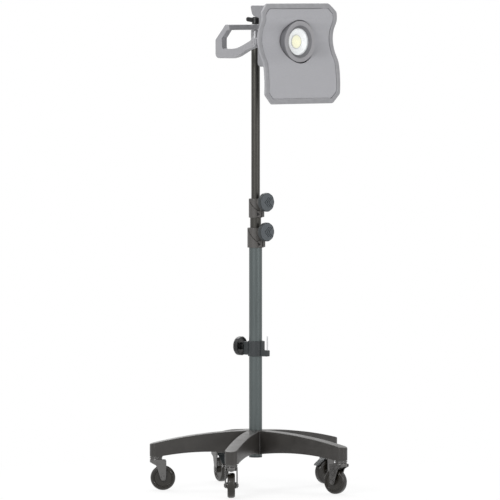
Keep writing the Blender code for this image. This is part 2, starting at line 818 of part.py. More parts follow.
def foot_plug():
    """A push-in cap that closes the lower tube's end."""
    flange_top = LOWER_TUBE_BOTTOM - SEAT_GAP
    spigot = LOWER_TUBE_BORE - SEAT_GAP
    profile = [
        (0, LOWER_TUBE_BOTTOM + FOOT_PLUG_DEPTH),
        (spigot, LOWER_TUBE_BOTTOM + FOOT_PLUG_DEPTH),
        (spigot, flange_top),
        (LOWER_TUBE_RADIUS, flange_top),
        (LOWER_TUBE_RADIUS, flange_top - FOOT_PLUG_FLANGE),
        (0, flange_top - FOOT_PLUG_FLANGE),
    ]
    return turned("mast_foot_plug", profile, TUBE_FACETS)


mid_section = frame("mid_section", stand)
upper_section = frame("upper_section", mid_section)
lower_tube = tube("lower_tube", LOWER_TUBE_RADIUS, LOWER_TUBE_BOTTOM, LOWER_TUBE_TOP)
finish(lower_tube, stand, TUBE)
finish(foot_plug(), stand, BLACK)
mid_tube = tube("mid_tube", MID_TUBE_RADIUS, MID_TUBE_BOTTOM, MID_TUBE_TOP)
finish(mid_tube, mid_section, TUBE)
mid_bush = foot_bush("mid_foot_bush", MID_BUSH_BORE, MID_BUSH_RADIUS, MID_TUBE_BOTTOM)
finish(mid_bush, mid_section, NYLON)
upper_tube = tube("upper_tube", UPPER_TUBE_RADIUS, UPPER_TUBE_BOTTOM, UPPER_TUBE_TOP)
finish(upper_tube, upper_section, DARK_TUBE)
upper_bush = foot_bush(
    "upper_foot_bush", UPPER_BUSH_BORE, UPPER_BUSH_RADIUS, UPPER_TUBE_BOTTOM
)
finish(upper_bush, upper_section, NYLON)


# Clamp collars, modelled from their lower edge up

def collar(name, bottom, height, knob_level, outer, grip_bore, slide_bore):
    """A split collar pinched on one tube, with the lock knob's boss for the next."""
    profile = [
        (outer - COLLAR_TOP_CHAMFER, bottom + height),
        (outer, bottom + height - COLLAR_TOP_CHAMFER),
        (outer, bottom),
        (grip_bore, bottom),
        (grip_bore, bottom + COLLAR_GRIP + SEAT_GAP),
        (slide_bore, bottom + COLLAR_GRIP + SEAT_GAP),
        (slide_bore, bottom + height),
    ]
    body = turned(name, profile, COLLAR_FACETS)
    wall_middle = (outer + grip_bore) / 2
    boss = rod(
        "boss",
        (0, -wall_middle, knob_level),
        (0, -KNOB_BOSS_REACH, knob_level),
        KNOB_BOSS_RADIUS,
    )
    ear_bottom = bottom + EAR_FOOT
    ear_top = ear_bottom + EAR_HEIGHT
    ear_front = outer + EAR_REACH
    ears = box(
        "ears",
        (-EAR_HALF_WIDTH, -ear_front, ear_bottom),
        (EAR_HALF_WIDTH, -wall_middle, ear_top),
    )
    gusset_outline = [
        (wall_middle, ear_top - EAR_FOOT),
        (ear_front - EAR_FOOT, ear_top - EAR_FOOT),
        (KNOB_BOSS_REACH - EAR_FOOT, knob_level),
        (wall_middle, knob_level),
    ]
    gusset = prism("gusset", gusset_outline, GUSSET_THICKNESS, FACING_SIDE)
    slot = box(
        "ear_slot",
        (-EAR_SLOT / 2, -ear_front - THROUGH, bottom - THROUGH),
        (EAR_SLOT / 2, -grip_bore + THROUGH, ear_top + EAR_FOOT),
    )
    bolt_level = (ear_bottom + ear_top) / 2
    bolt_place = outer + PINCH_OFFSET
    bolt_hole = rod(
        "bolt_hole",
        (-EAR_HALF_WIDTH - THROUGH, -bolt_place, bolt_level),
        (EAR_HALF_WIDTH + THROUGH, -bolt_place, bolt_level),
        PINCH_BOLT_RADIUS + SEAT_GAP,
        10,
    )
    head_pocket = rod(
        "head_pocket",
        (-EAR_HALF_WIDTH - THROUGH, -bolt_place, bolt_level),
        (-EAR_HALF_WIDTH + PINCH_HEAD_DEPTH, -bolt_place, bolt_level),
        PINCH_HEAD_RADIUS + SEAT_GAP,
        12,
    )
    stem_hole = rod(
        "stem_hole",
        (0, -slide_bore + THROUGH, knob_level),
        (0, -KNOB_BOSS_REACH - THROUGH, knob_level),
        KNOB_STEM_RADIUS + SEAT_GAP,
        12,
    )
    shoe_pocket = rod(
        "shoe_pocket",
        (0, -slide_bore + THROUGH, knob_level),
        (0, -slide_bore - SHOE_LENGTH - SEAT_GAP, knob_level),
        SHOE_RADIUS + SEAT_GAP,
        12,
    )
    join(body, boss, ears, gusset)
    return cut(body, slot, bolt_hole, head_pocket, stem_hole, shoe_pocket)


def pinch_bolt(name, bottom, outer):
    """Cap screw that draws a collar's ears together."""
    level = bottom + EAR_FOOT + EAR_HEIGHT / 2
    place = outer + PINCH_OFFSET
    seat = -EAR_HALF_WIDTH + PINCH_HEAD_DEPTH - SEAT_GAP
    head = rod(name, (-EAR_HALF_WIDTH, -place, level), (seat, -place, level), PINCH_HEAD_RADIUS, 12)
    shank = rod(
        "shank",
        (seat - SEAT_GAP, -place, level),
        (EAR_HALF_WIDTH, -place, level),
        PINCH_BOLT_RADIUS,
        10,
    )
    return join(head, shank)


def brake_shoe(name, slide_bore, knob_level):
    """Nylon pad that the lock knob's stem presses on the sliding tube."""
    return rod(
        name,
        (0, -slide_bore, knob_level),
        (0, -slide_bore - SHOE_LENGTH, knob_level),
        SHOE_RADIUS,
        12,
    )


def lock_knob(name, slide_bore):
    """Round grip with its threaded stem, the grip's back face at the origin."""
    tip = KNOB_BOSS_REACH - slide_bore - SHOE_LENGTH
    profile = [
        (0, LOCK_KNOB_THICKNESS),
        (LOCK_KNOB_RADIUS - LOCK_KNOB_EDGE, LOCK_KNOB_THICKNESS),
        (LOCK_KNOB_RADIUS, LOCK_KNOB_THICKNESS - LOCK_KNOB_EDGE),
        (LOCK_KNOB_RADIUS, LOCK_KNOB_EDGE),
        (LOCK_KNOB_RADIUS - LOCK_KNOB_EDGE, 0),
        (KNOB_STEM_RADIUS, 0),
        (KNOB_STEM_RADIUS, -tip),
        (0, -tip),
    ]
    return turned(name, profile, KNOB_FACETS, math.pi / 2)


def fit_collar(prefix, parent, bottom, height, knob_drop, wall, gripped, sliding):
    """A collar with its bolt, shoe and knob. The radii are those of its two tubes."""
    grip_bore = gripped + SEAT_GAP
    slide_bore = sliding + SEAT_GAP
    outer = grip_bore + wall
    knob_level = bottom + height - knob_drop
    name = f"{prefix}_collar"
    body = collar(name, bottom, height, knob_level, outer, grip_bore, slide_bore)
    finish(body, parent, BLACK)
    finish(pinch_bolt(f"{prefix}_pinch_bolt", bottom, outer), parent, STEEL)
    finish(brake_shoe(f"{prefix}_brake_shoe", slide_bore, knob_level), parent, NYLON)
    knob = finish(lock_knob(f"{prefix}_lock_knob", slide_bore), parent, SLATE)
    knob.location = (0, -KNOB_BOSS_REACH - SEAT_GAP, knob_level)


fit_collar(
    "lower",
    stand,
    LOWER_COLLAR_BOTTOM,
    LOWER_COLLAR_HEIGHT,
    LOWER_KNOB_DROP,
    LOWER_COLLAR_WALL,
    LOWER_TUBE_RADIUS,
    MID_TUBE_RADIUS,
)
fit_collar(
    "upper",
    mid_section,
    UPPER_COLLAR_BOTTOM,
    UPPER_COLLAR_HEIGHT,
    UPPER_KNOB_DROP,
    UPPER_COLLAR_WALL,
    MID_TUBE_RADIUS,
    UPPER_TUBE_RADIUS,
)


# Cable hook clamp, with its knob towards +Y of its own frame and its hook towards -Y

def hook_clamp():
    bore = LOWER_TUBE_RADIUS + SEAT_GAP
    outer = bore + HOOK_RING_WALL
    middle = (bore + outer) / 2
    profile = [(outer, HOOK_HEIGHT), (outer, 0), (bore, 0), (bore, HOOK_HEIGHT)]
    ring = turned("hook_clamp", profile, COLLAR_FACETS)
    lug = box(
        "lug",
        (-LUG_HALF_WIDTH, middle, LUG_INSET),
        (LUG_HALF_WIDTH, LUG_REACH, HOOK_HEIGHT - LUG_INSET),
    )
    hook_outline = [
        (middle, 0),
        (HOOK_ARM_REACH, 0),
        (HOOK_ARM_REACH, HOOK_ARM_HEIGHT),
        (HOOK_WALL_REACH, HOOK_ARM_HEIGHT),
        (HOOK_WALL_REACH, HOOK_HEIGHT),
        (middle, HOOK_HEIGHT),
    ]
    hook = prism("hook", hook_outline, 2 * HOOK_ARM_HALF_WIDTH, FACING_SIDE)
    pin_hole = rod(
        "pin_hole",
        (0, -HOOK_PIN_REACH, HOOK_ARM_HEIGHT - HOOK_PIN_SEAT),
        (0, -HOOK_PIN_REACH, HOOK_ARM_HEIGHT + THROUGH),
        HOOK_PIN_RADIUS + SEAT_GAP,
        10,
    )
    stem_hole = rod(
        "stem_hole",
        (0, 0, HOOK_KNOB_LEVEL),
        (0, LUG_REACH + THROUGH, HOOK_KNOB_LEVEL),
        KNOB_STEM_RADIUS + SEAT_GAP,
        12,
    )
    join(ring, lug, hook)
    return cut(ring, pin_hole, stem_hole)


def hook_pin():
    return rod(
        "hook_pin",
        (0, -HOOK_PIN_REACH, HOOK_ARM_HEIGHT - HOOK_PIN_SEAT + SEAT_GAP),
        (0, -HOOK_PIN_REACH, HOOK_ARM_HEIGHT + HOOK_PIN_SHOWING),
        HOOK_PIN_RADIUS,
        10,
    )


def hook_knob():
    """Dished grip on a neck, with a stem that bears on the tube."""
    neck_end = -HOOK_KNOB_STANDOFF + SEAT_GAP
    stem_end = neck_end - SEAT_GAP - LUG_REACH + LOWER_TUBE_RADIUS + SEAT_GAP
    profile = [
        (0, HOOK_KNOB_THICKNESS),
        (HOOK_KNOB_RADIUS - LOCK_KNOB_EDGE, HOOK_KNOB_THICKNESS),
        (HOOK_KNOB_RADIUS, HOOK_KNOB_THICKNESS - LOCK_KNOB_EDGE),
        (HOOK_KNOB_RADIUS, 0),
        (HOOK_KNOB_RADIUS - HOOK_KNOB_RIM, 0),
        (HOOK_KNOB_RADIUS - HOOK_KNOB_RIM, HOOK_KNOB_RECESS),
        (HOOK_NECK_RADIUS, HOOK_KNOB_RECESS),
        (HOOK_NECK_RADIUS, neck_end),
        (KNOB_STEM_RADIUS, neck_end),
        (KNOB_STEM_RADIUS, stem_end),
        (0, stem_end),
    ]
    return turned("hook_knob", profile, KNOB_FACETS, -math.pi / 2)


hook_frame = frame("hook", stand, (0, 0, HOOK_BOTTOM), HOOK_TURN)
finish(hook_clamp(), hook_frame, BLACK)
finish(hook_pin(), hook_frame, STEEL)
hook_grip = finish(hook_knob(), hook_frame, SLATE)
hook_grip.location = (0, LUG_REACH + HOOK_KNOB_STANDOFF, HOOK_KNOB_LEVEL)


# Top adapter and wing knob

def top_adapter():
    """Grey plug in the upper tube's end, with the stud that holds the bail."""
    profile = [
        (0, BAIL_BAR_TOP + STUD_THREAD),
        (STUD_RADIUS, BAIL_BAR_TOP + STUD_THREAD),
        (STUD_RADIUS, ADAPTER_TOP),
        (ADAPTER_RADIUS, ADAPTER_TOP),
        (ADAPTER_RADIUS, UPPER_TUBE_TOP + SEAT_GAP),
        (UPPER_TUBE_RADIUS - TUBE_WALL - SEAT_GAP, UPPER_TUBE_TOP + SEAT_GAP),
        (UPPER_TUBE_RADIUS - TUBE_WALL - SEAT_GAP, UPPER_TUBE_TOP - SPIGOT_LENGTH),
        (0, UPPER_TUBE_TOP - SPIGOT_LENGTH),
    ]
    return turned("top_adapter", profile, TUBE_FACETS)


def wing_knob():
    """Two-lobed nut on the stud, its lower face at the origin."""
    top = STUD_THREAD + WING_LIFT
    hub = rod("wing_knob", (0, 0, 0), (0, 0, top), WING_HUB_RADIUS, 16)
    half = WING_SPAN / 2
    thin = WING_THICKNESS / 2
    lobe = [*arc((half - thin, 0), thin, -90, 90, 6), *arc((thin - half, 0), thin, 90, 270, 6)]
    wings = prism("wings", lobe, WING_HEIGHT, FLAT, (0, 0, WING_LIFT + WING_HEIGHT / 2))
    bore = rod(
        "stud_bore",
        (0, 0, -THROUGH),
        (0, 0, STUD_THREAD + SEAT_GAP),
        STUD_RADIUS + SEAT_GAP,
        TUBE_FACETS,
    )
    return cut(join(hub, wings), bore)


finish(top_adapter(), upper_section, MID_GREY)
wing = finish(wing_knob(), upper_section, BLACK)
wing.location = (0, 0, BAIL_BAR_TOP + SEAT_GAP)
wing.rotation_euler.z = WING_TURN
for tool in operands(wing):
    tool.location = wing.location
    tool.rotation_euler = wing.rotation_euler


# Bail handle, in a frame at the top face of its bar

def bail_arm(side):
    """One C-shaped cheek, from the bar back, down and forward to the pivot eye."""
    half_bar = BAIL_BAND / 2
    low = -BAIL_DEPTH
    inner_back = -BAIL_BACK + BAIL_BAND
    inner_low = low + BAIL_BAND
    outline = [
        (half_bar, 0),
        (-half_bar / 4, 0),
        (-BAIL_BACK, -BAIL_SHOULDER_DROP),
        (-BAIL_BACK, low + half_bar / 2),
        (-BAIL_BACK + half_bar, low),
    ]
    outline += [(forward, low + rise) for forward, rise in BAIL_SWEEP_LOW]
    outline += arc((PIVOT_FORWARD, -PIVOT_DROP), BAIL_EYE_RADIUS, -65, 110, 8)
    outline += [(forward, inner_low + rise) for forward, rise in BAIL_SWEEP_HIGH]
    outline += [
        (inner_back + half_bar / 4, inner_low),
        (inner_back, inner_low + half_bar / 4),
        (inner_back, -BAIL_SHOULDER_DROP + BAIL_BAR_HEIGHT / 4),
        (half_bar / 4, -BAIL_BAR_HEIGHT),
        (half_bar, -BAIL_BAR_HEIGHT),
    ]
    middle = side * (BAIL_HALF_WIDTH - BAIL_ARM_THICKNESS / 2)
    return prism("bail_arm", outline, BAIL_ARM_THICKNESS, FACING_SIDE, (middle, 0, 0))


def bail_handle():
    half_bar = BAIL_BAND / 2
    inside = BAIL_HALF_WIDTH - BAIL_ARM_THICKNESS / 2
    bar = box(
        "bail_handle",
        (-inside, -half_bar, -BAIL_BAR_HEIGHT),
        (inside, half_bar, 0),
    )
    stud_hole = rod(
        "stud_hole",
        (0, 0, -BAIL_BAR_HEIGHT - THROUGH),
        (0, 0, THROUGH),
        STUD_RADIUS + SEAT_GAP,
        TUBE_FACETS,
    )
    eye_hole = rod(
        "eye_hole",
        (-BAIL_HALF_WIDTH - THROUGH, -PIVOT_FORWARD, -PIVOT_DROP),
        (BAIL_HALF_WIDTH + THROUGH, -PIVOT_FORWARD, -PIVOT_DROP),
        PIVOT_BOLT_RADIUS + SEAT_GAP,
        12,
    )
    join(bar, bail_arm(-1), bail_arm(1))
    return cut(bar, stud_hole, eye_hole)


def pivot_bolt(name, side):
    """Shouldered screw through the bail's eye into the light's side."""
    head_inner = BAIL_HALF_WIDTH + SEAT_GAP
    inner_end = HOUSING_HALF_WIDTH - PIVOT_BOLT_GRIP
    head = rod(
        name,
        (side * (head_inner + PIVOT_HEAD_HEIGHT), -PIVOT_FORWARD, -PIVOT_DROP),
        (side * head_inner, -PIVOT_FORWARD, -PIVOT_DROP),
        PIVOT_HEAD_RADIUS,
        16,
    )
    shank = rod(
        "shank",
        (side * (head_inner + PIVOT_HEAD_HEIGHT / 2), -PIVOT_FORWARD, -PIVOT_DROP),
        (side * inner_end, -PIVOT_FORWARD, -PIVOT_DROP),
        PIVOT_BOLT_RADIUS,
        12,
    )
    return join(head, shank)


pan_frame = frame("bail", upper_section, (0, 0, BAIL_BAR_TOP))
finish(bail_handle(), pan_frame, LIGHT_GREY)
finish(pivot_bolt("left_pivot_bolt", -1), pan_frame, MID_GREY)
finish(pivot_bolt("right_pivot_bolt", 1), pan_frame, MID_GREY)


# Light body, in a frame on the tilt axis. Side outlines are (forward, height) points

front_line = smooth_through(FRONT_CURVE, FRONT_CURVE_STEPS)
HOUSING_SEAT = -PANEL_RECESS - PANEL_THICKNESS - SEAT_GAP


def front_at(height):
    """How far forward the rim's front is at a height."""
    for (low, near), (high, far) in zip(front_line, front_line[1:]):
        if low <= height <= high:
            return near + (far - near) * (height - low) / (high - low)
    return front_line[-1][1]


def curved_slab(name, setback, depth):
    """A full-width sheet that follows the curved front, set back from it."""
    front = [(forward - setback, height) for height, forward in front_line]
    back = [(forward - depth, height) for forward, height in reversed(front)]
    return prism(name, front + back, 2 * LIGHT_HALF_WIDTH + 2 * THROUGH, FACING_SIDE)


def front_outline(name, inset):
    """A tall prism of the light's chamfered outline, drawn in by an inset."""
    half = LIGHT_HALF_WIDTH - inset
    top = LIGHT_TOP - inset
    bottom = LIGHT_BOTTOM + inset
    upper = TOP_CHAMFER - inset * (2 - math.sqrt(2))
    lower = BOTTOM_CHAMFER - inset * (2 - math.sqrt(2))
    outline = [
        (-half, bottom + lower),
        (-half + lower, bottom),
        (half - lower, bottom),
        (half, bottom + lower),
        (half, top - upper),
        (half - upper, top),
        (-half + upper, top),
        (-half, top - upper),
    ]
    return prism(name, outline, 2 * LIGHT_HALF_WIDTH, FACING_FRONT)


def housing_outline(inset, front_reach):
    """Side view of the housing's back. The inset draws it in for the cavity."""
    top = HOUSING_TOP - inset
    bottom = HOUSING_BOTTOM + inset
    back = HOUSING_BACK + inset
    saddle = SADDLE_BACK + inset
    head = HEAD_BACK + inset
    head_low = HEAD_BOTTOM + inset
    slant_low = HEAD_SLANT_BOTTOM + inset
    heights = [height for height, _ in front_line if bottom < height < top]
    face = [(front_at(height) + front_reach, height) for height in [bottom, *heights, top]]
    rear = [
        (head + HEAD_CORNER, top),
        (head, top - HEAD_CORNER),
        (head + HEAD_SLANT, slant_low),
        (head + 2 * HEAD_SLANT, slant_low - HEAD_SLANT),
        (saddle, head_low),
        (saddle, SADDLE_TOP),
        (back, SADDLE_BOTTOM),
        (back, bottom + CORNER_CUT),
        (back + CORNER_CUT, bottom),
    ]
    return face + rear


def bumper_frame():
    """The raised rim round the light's front, notched where the housing's head backs it."""
    slab = curved_slab("bumper_frame", 0, RIM_DEPTH)
    keep_common(slab, front_outline("rim_outline", 0))
    notch = prism(
        "head_notch",
        housing_outline(-SEAT_GAP, HOUSING_SEAT + SEAT_GAP),
        2 * (HOUSING_HALF_WIDTH + SEAT_GAP),
        FACING_SIDE,
    )
    return cut(slab, front_outline("rim_window", RIM_WIDTH), notch)


def front_panel():
    """The curved face plate inside the rim, with the bezel's round opening."""
    slab = curved_slab("front_panel", PANEL_RECESS, PANEL_THICKNESS)
    keep_common(slab, front_outline("panel_outline", RIM_WIDTH + SEAT_GAP))
    opening = rod(
        "bezel_opening",
        (0, 0, LENS_HEIGHT),
        (0, -2 * BEZEL_FRONT, LENS_HEIGHT),
        BEZEL_RADIUS + BEZEL_CLEARANCE,
        ROUND_FACETS,
    )
    return cut(slab, opening)


def optic(name, profile):
    """A turned optical piece on the lens axis. Its heights are distances forward."""
    made = turned(name, profile, ROUND_FACETS, math.pi / 2)
    made.location = (0, 0, LENS_HEIGHT)
    return made


def bezel():
    pocket = LENS_RADIUS + SEAT_GAP
    lip_back = LENS_FRONT + SEAT_GAP
    back = SINK_FRONT + SEAT_GAP
    profile = [
        (BEZEL_MOUTH_RADIUS, BEZEL_FRONT),
        (BEZEL_RADIUS, BEZEL_FRONT),
        (BEZEL_RADIUS, back),
        (pocket, back),
        (pocket, lip_back),
        (LENS_VISIBLE_RADIUS, lip_back),
    ]
    return optic("bezel", profile)


def lens():
    back = LENS_FRONT - LENS_THICKNESS
    profile = [(0, LENS_FRONT), (LENS_RADIUS, LENS_FRONT), (LENS_RADIUS, back), (0, back)]
    return optic("lens", profile)


def reflector():
    """A cone from the LED out to the lens, with a flange behind the lens."""
    mouth = LENS_FRONT - LENS_THICKNESS - SEAT_GAP
    foot = PEDESTAL_FRONT + SEAT_GAP + LED_BASE_THICKNESS + SEAT_GAP
    throat = LED_RADIUS + SEAT_GAP
    cone = LENS_VISIBLE_RADIUS - REFLECTOR_WALL
    profile = [
        (cone, mouth),
        (LENS_RADIUS, mouth),
        (LENS_RADIUS, mouth - REFLECTOR_WALL),
        (cone + REFLECTOR_WALL, mouth - REFLECTOR_WALL),
        (throat + REFLECTOR_WALL, foot),
        (throat, foot),
    ]
    return optic("reflector", profile)


def led_module():
    base_back = PEDESTAL_FRONT + SEAT_GAP
    base_front = base_back + LED_BASE_THICKNESS
    profile = [
        (0, base_front + LED_CAP_THICKNESS),
        (LED_RADIUS, base_front + LED_CAP_THICKNESS),
        (LED_RADIUS, base_front),
        (LED_BASE_RADIUS, base_front),
        (LED_BASE_RADIUS, base_back),
        (0, base_back),
    ]
    return optic("led_module", profile)


def heat_sink():
    """A plate across the housing, fins behind it and the LED's round seat in front."""
    half_width = HOUSING_HALF_WIDTH - HOUSING_WALL - SEAT_GAP
    plate_back = SINK_FRONT - SINK_PLATE
    low = LENS_HEIGHT - SINK_HALF_HEIGHT
    high = LENS_HEIGHT + SINK_HALF_HEIGHT
    plate = box("heat_sink", (-half_width, -SINK_FRONT, low), (half_width, -plate_back, high))
    fins = []
    for i in range(FIN_COUNT):
        middle = (i - (FIN_COUNT - 1) / 2) * FIN_PITCH
        fins.append(
            box(
                "fin",
                (middle - FIN_THICKNESS / 2, -plate_back - THROUGH, low + THROUGH),
                (middle + FIN_THICKNESS / 2, FIN_DEPTH - plate_back, high - THROUGH),
            )
        )
    pedestal = rod(
        "pedestal",
        (0, -plate_back - THROUGH, LENS_HEIGHT),
        (0, -PEDESTAL_FRONT, LENS_HEIGHT),
        PEDESTAL_RADIUS,
        ROUND_FACETS,
    )
    return join(plate, pedestal, *fins)


def rear_housing():
    """Hollow casing behind the panel, with the battery bay below it."""
    outline = housing_outline(0, HOUSING_SEAT)
    housing = prism("rear_housing", outline, 2 * HOUSING_HALF_WIDTH, FACING_SIDE)
    inside = HOUSING_HALF_WIDTH - HOUSING_WALL
    cavity = prism("cavity", housing_outline(HOUSING_WALL, THROUGH), 2 * inside, FACING_SIDE)
    bay_front = PACK_BACK + PACK_DEPTH + SEAT_GAP + HOUSING_WALL
    bay = box(
        "battery_bay",
        (-BAY_HALF_WIDTH, -bay_front, BAY_BOTTOM),
        (BAY_HALF_WIDTH, -BAY_BACK, HOUSING_BOTTOM + HOUSING_WALL / 2),
    )
    pocket = box(
        "battery_pocket",
        (-PACK_HALF_WIDTH - SEAT_GAP, -bay_front + HOUSING_WALL, PACK_BOTTOM),
        (PACK_HALF_WIDTH + SEAT_GAP, -PACK_BACK + SEAT_GAP, PACK_TOP + SEAT_GAP),
    )
    lugs = []
    bolt_holes = []
    for side in (-1, 1):
        outer = side * (HOUSING_HALF_WIDTH - PIVOT_LUG_INSET)
        inner = side * (HOUSING_HALF_WIDTH - PIVOT_LUG_DEPTH)
        hole_start = side * (HOUSING_HALF_WIDTH + THROUGH)
        hole_end = side * (HOUSING_HALF_WIDTH - PIVOT_BOLT_GRIP - SEAT_GAP)
        bolt_bore = PIVOT_BOLT_RADIUS + SEAT_GAP
        lugs.append(rod("lug", (inner, 0, 0), (outer, 0, 0), PIVOT_LUG_RADIUS, 20))
        bolt_holes.append(rod("bolt_hole", (hole_end, 0, 0), (hole_start, 0, 0), bolt_bore, 12))
    button_hole = rod(
        "button_hole",
        (BUTTON_ACROSS, -HOUSING_BACK + THROUGH, BUTTON_HEIGHT),
        (BUTTON_ACROSS, -HOUSING_BACK - 2 * HOUSING_WALL, BUTTON_HEIGHT),
        BUTTON_RADIUS + SEAT_GAP,
        16,
    )
    cut(housing, cavity)
    join(housing, bay, *lugs)
    return cut(housing, pocket, *bolt_holes, button_hole)


def battery_pack():
    """Pack that slides out downwards, with a thicker grip below the bay."""
    body = box(
        "battery_pack",
        (-PACK_HALF_WIDTH, -PACK_BACK - PACK_DEPTH, PACK_BOTTOM + THROUGH),
        (PACK_HALF_WIDTH, -PACK_BACK, PACK_TOP),
    )
    grip = box(
        "pack_grip",
        (-BAY_HALF_WIDTH, -PACK_BACK - PACK_DEPTH - HOUSING_WALL, PACK_BOTTOM),
        (BAY_HALF_WIDTH, -BAY_BACK, BAY_BOTTOM - PACK_GRIP_BOTTOM_GAP),
    )
    return join(body, grip)


def power_button():
    """Round push button through the back of the housing."""
    return rod(
        "power_button",
        (BUTTON_ACROSS, -HOUSING_BACK + BUTTON_PROUD, BUTTON_HEIGHT),
        (BUTTON_ACROSS, -HOUSING_BACK + BUTTON_PROUD - BUTTON_LENGTH, BUTTON_HEIGHT),
        BUTTON_RADIUS,
        16,
    )


tilt_frame = frame("light", pan_frame, (0, -PIVOT_FORWARD, -PIVOT_DROP))
finish(bumper_frame(), tilt_frame, MID_GREY)
finish(front_panel(), tilt_frame, LIGHT_GREY)
finish(bezel(), tilt_frame, MID_GREY)
finish(lens(), tilt_frame, LENS)
finish(reflector(), tilt_frame, WHITE)
finish(led_module(), tilt_frame, YELLOW)
finish(heat_sink(), tilt_frame, ALUMINIUM)
finish(rear_housing(), tilt_frame, LIGHT_GREY)
finish(battery_pack(), tilt_frame, BLACK)
finish(power_button(), tilt_frame, BLACK)
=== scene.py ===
"""Finer shapes and finishes for the work light stand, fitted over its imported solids."""

import json
import math

import bmesh
import bpy
from mathutils import Matrix, Vector
from mathutils.geometry import tessellate_polygon


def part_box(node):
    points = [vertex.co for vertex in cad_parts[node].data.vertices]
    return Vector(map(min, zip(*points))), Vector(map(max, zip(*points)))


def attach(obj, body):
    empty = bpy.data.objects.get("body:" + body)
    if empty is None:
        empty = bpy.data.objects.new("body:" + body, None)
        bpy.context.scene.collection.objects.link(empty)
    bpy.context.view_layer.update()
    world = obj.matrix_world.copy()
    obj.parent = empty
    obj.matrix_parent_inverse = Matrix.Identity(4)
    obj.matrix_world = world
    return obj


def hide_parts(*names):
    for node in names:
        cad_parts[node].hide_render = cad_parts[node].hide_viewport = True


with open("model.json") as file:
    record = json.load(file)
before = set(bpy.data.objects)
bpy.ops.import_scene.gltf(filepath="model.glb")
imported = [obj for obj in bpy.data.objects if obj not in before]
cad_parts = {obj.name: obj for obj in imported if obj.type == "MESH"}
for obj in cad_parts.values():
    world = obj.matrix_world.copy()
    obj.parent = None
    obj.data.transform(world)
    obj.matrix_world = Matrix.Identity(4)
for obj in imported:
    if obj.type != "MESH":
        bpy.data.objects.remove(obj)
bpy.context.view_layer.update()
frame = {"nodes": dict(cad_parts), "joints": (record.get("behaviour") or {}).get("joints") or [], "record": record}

nodes = frame["nodes"]
record = frame["record"]
joints = {joint["name"]: joint for joint in frame["joints"]}
body_of = {n: body for body, members in record["behaviour"]["bodies"].items() for n in members}
scene = bpy.context.scene


def in_scene(name, data):
    """A new object in the scene that shows the data."""
    made = bpy.data.objects.new(name, data)
    scene.collection.objects.link(made)
    return made


# Places read from the solids

def middle(node):
    low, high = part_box(node)
    return (low + high) / 2


def radius_of(node):
    low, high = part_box(node)
    return (high.x - low.x) / 2


MAST = middle("lower_tube").to_2d().to_3d()
HUB_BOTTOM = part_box("mast_foot_plug")[1].z
ARM_END_BOTTOM, HUB_LIP_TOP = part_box("base_casting")[0].z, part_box("base_casting")[1].z
HOOK_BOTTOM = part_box("hook_clamp")[0].z
BAR_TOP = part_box("bail_handle")[1].z
TILT = Vector(joints["light_tilt"]["pos_m"])

# Camera, at the photograph's angle and distance
CAMERA_DISTANCE = 16.057
CAMERA_TURN = math.radians(43)
CAMERA_HEIGHT = 1.525
CAMERA_DROP = 0.05
CAMERA_LENS = 385.3
CAMERA_SHIFT = -5.6 / 500


def aim_camera():
    data = bpy.data.cameras.new("photo_camera")
    data.sensor_width = 36
    data.lens = CAMERA_LENS
    data.shift_x = CAMERA_SHIFT
    data.clip_end = 100
    camera = in_scene("photo_camera", data)
    away = Vector((math.sin(CAMERA_TURN), math.cos(CAMERA_TURN), 0)) * CAMERA_DISTANCE
    camera.location = MAST - away + Vector((0, 0, CAMERA_HEIGHT))
    camera.rotation_euler = (math.pi / 2 - CAMERA_DROP, 0, -CAMERA_TURN)
    scene.camera = camera


aim_camera()


# Node tools

class Number:
    """A value inside a material. Python's operators on it add Math nodes."""

    def __init__(self, graph, socket):
        self.graph = graph
        self.socket = socket

    def math(self, operation, *terms):
        made = self.graph.node("ShaderNodeMath", {"operation": operation}, dict(enumerate(terms)))
        return Number(self.graph, made.outputs[0])

    def __add__(self, other):
        return self.math("ADD", self, other)

    def __radd__(self, other):
        return self.math("ADD", other, self)

    def __sub__(self, other):
        return self.math("SUBTRACT", self, other)

    def __rsub__(self, other):
        return self.math("SUBTRACT", other, self)

    def __mul__(self, other):
        return self.math("MULTIPLY", self, other)

    def __rmul__(self, other):
        return self.math("MULTIPLY", other, self)

    def __truediv__(self, other):
        return self.math("DIVIDE", self, other)

    def __rtruediv__(self, other):
        return self.math("DIVIDE", other, self)

    def stretched(self, low, high):
        """The value spread so that low becomes 0 and high becomes 1, held between them."""
        values = {"Value": self, "From Min": low, "From Max": high}
        made = self.graph.node("ShaderNodeMapRange", {"clamp": True}, values)
        return Number(self.graph, made.outputs[0])


class Graph:
    """A node tree with one way to add a node to it."""

    def __init__(self, tree):
        self.tree = tree

    def node(self, kind, settings=None, values=None):
        """Adds a node: its settings first, then the values or links of its sockets."""
        made = self.tree.nodes.new(kind)
        for name, value in (settings or {}).items():
            setattr(made, name, value)
        for key, value in (values or {}).items():
            self.feed(made.inputs[key], value)
        return made

    def feed(self, socket, value):
        if isinstance(value, Number):
            value = value.socket
        if isinstance(value, bpy.types.NodeSocket):
            self.tree.links.new(value, socket)
        elif socket.type == "RGBA":
            socket.default_value = (*value[:3], 1)
        else:
            socket.default_value = value


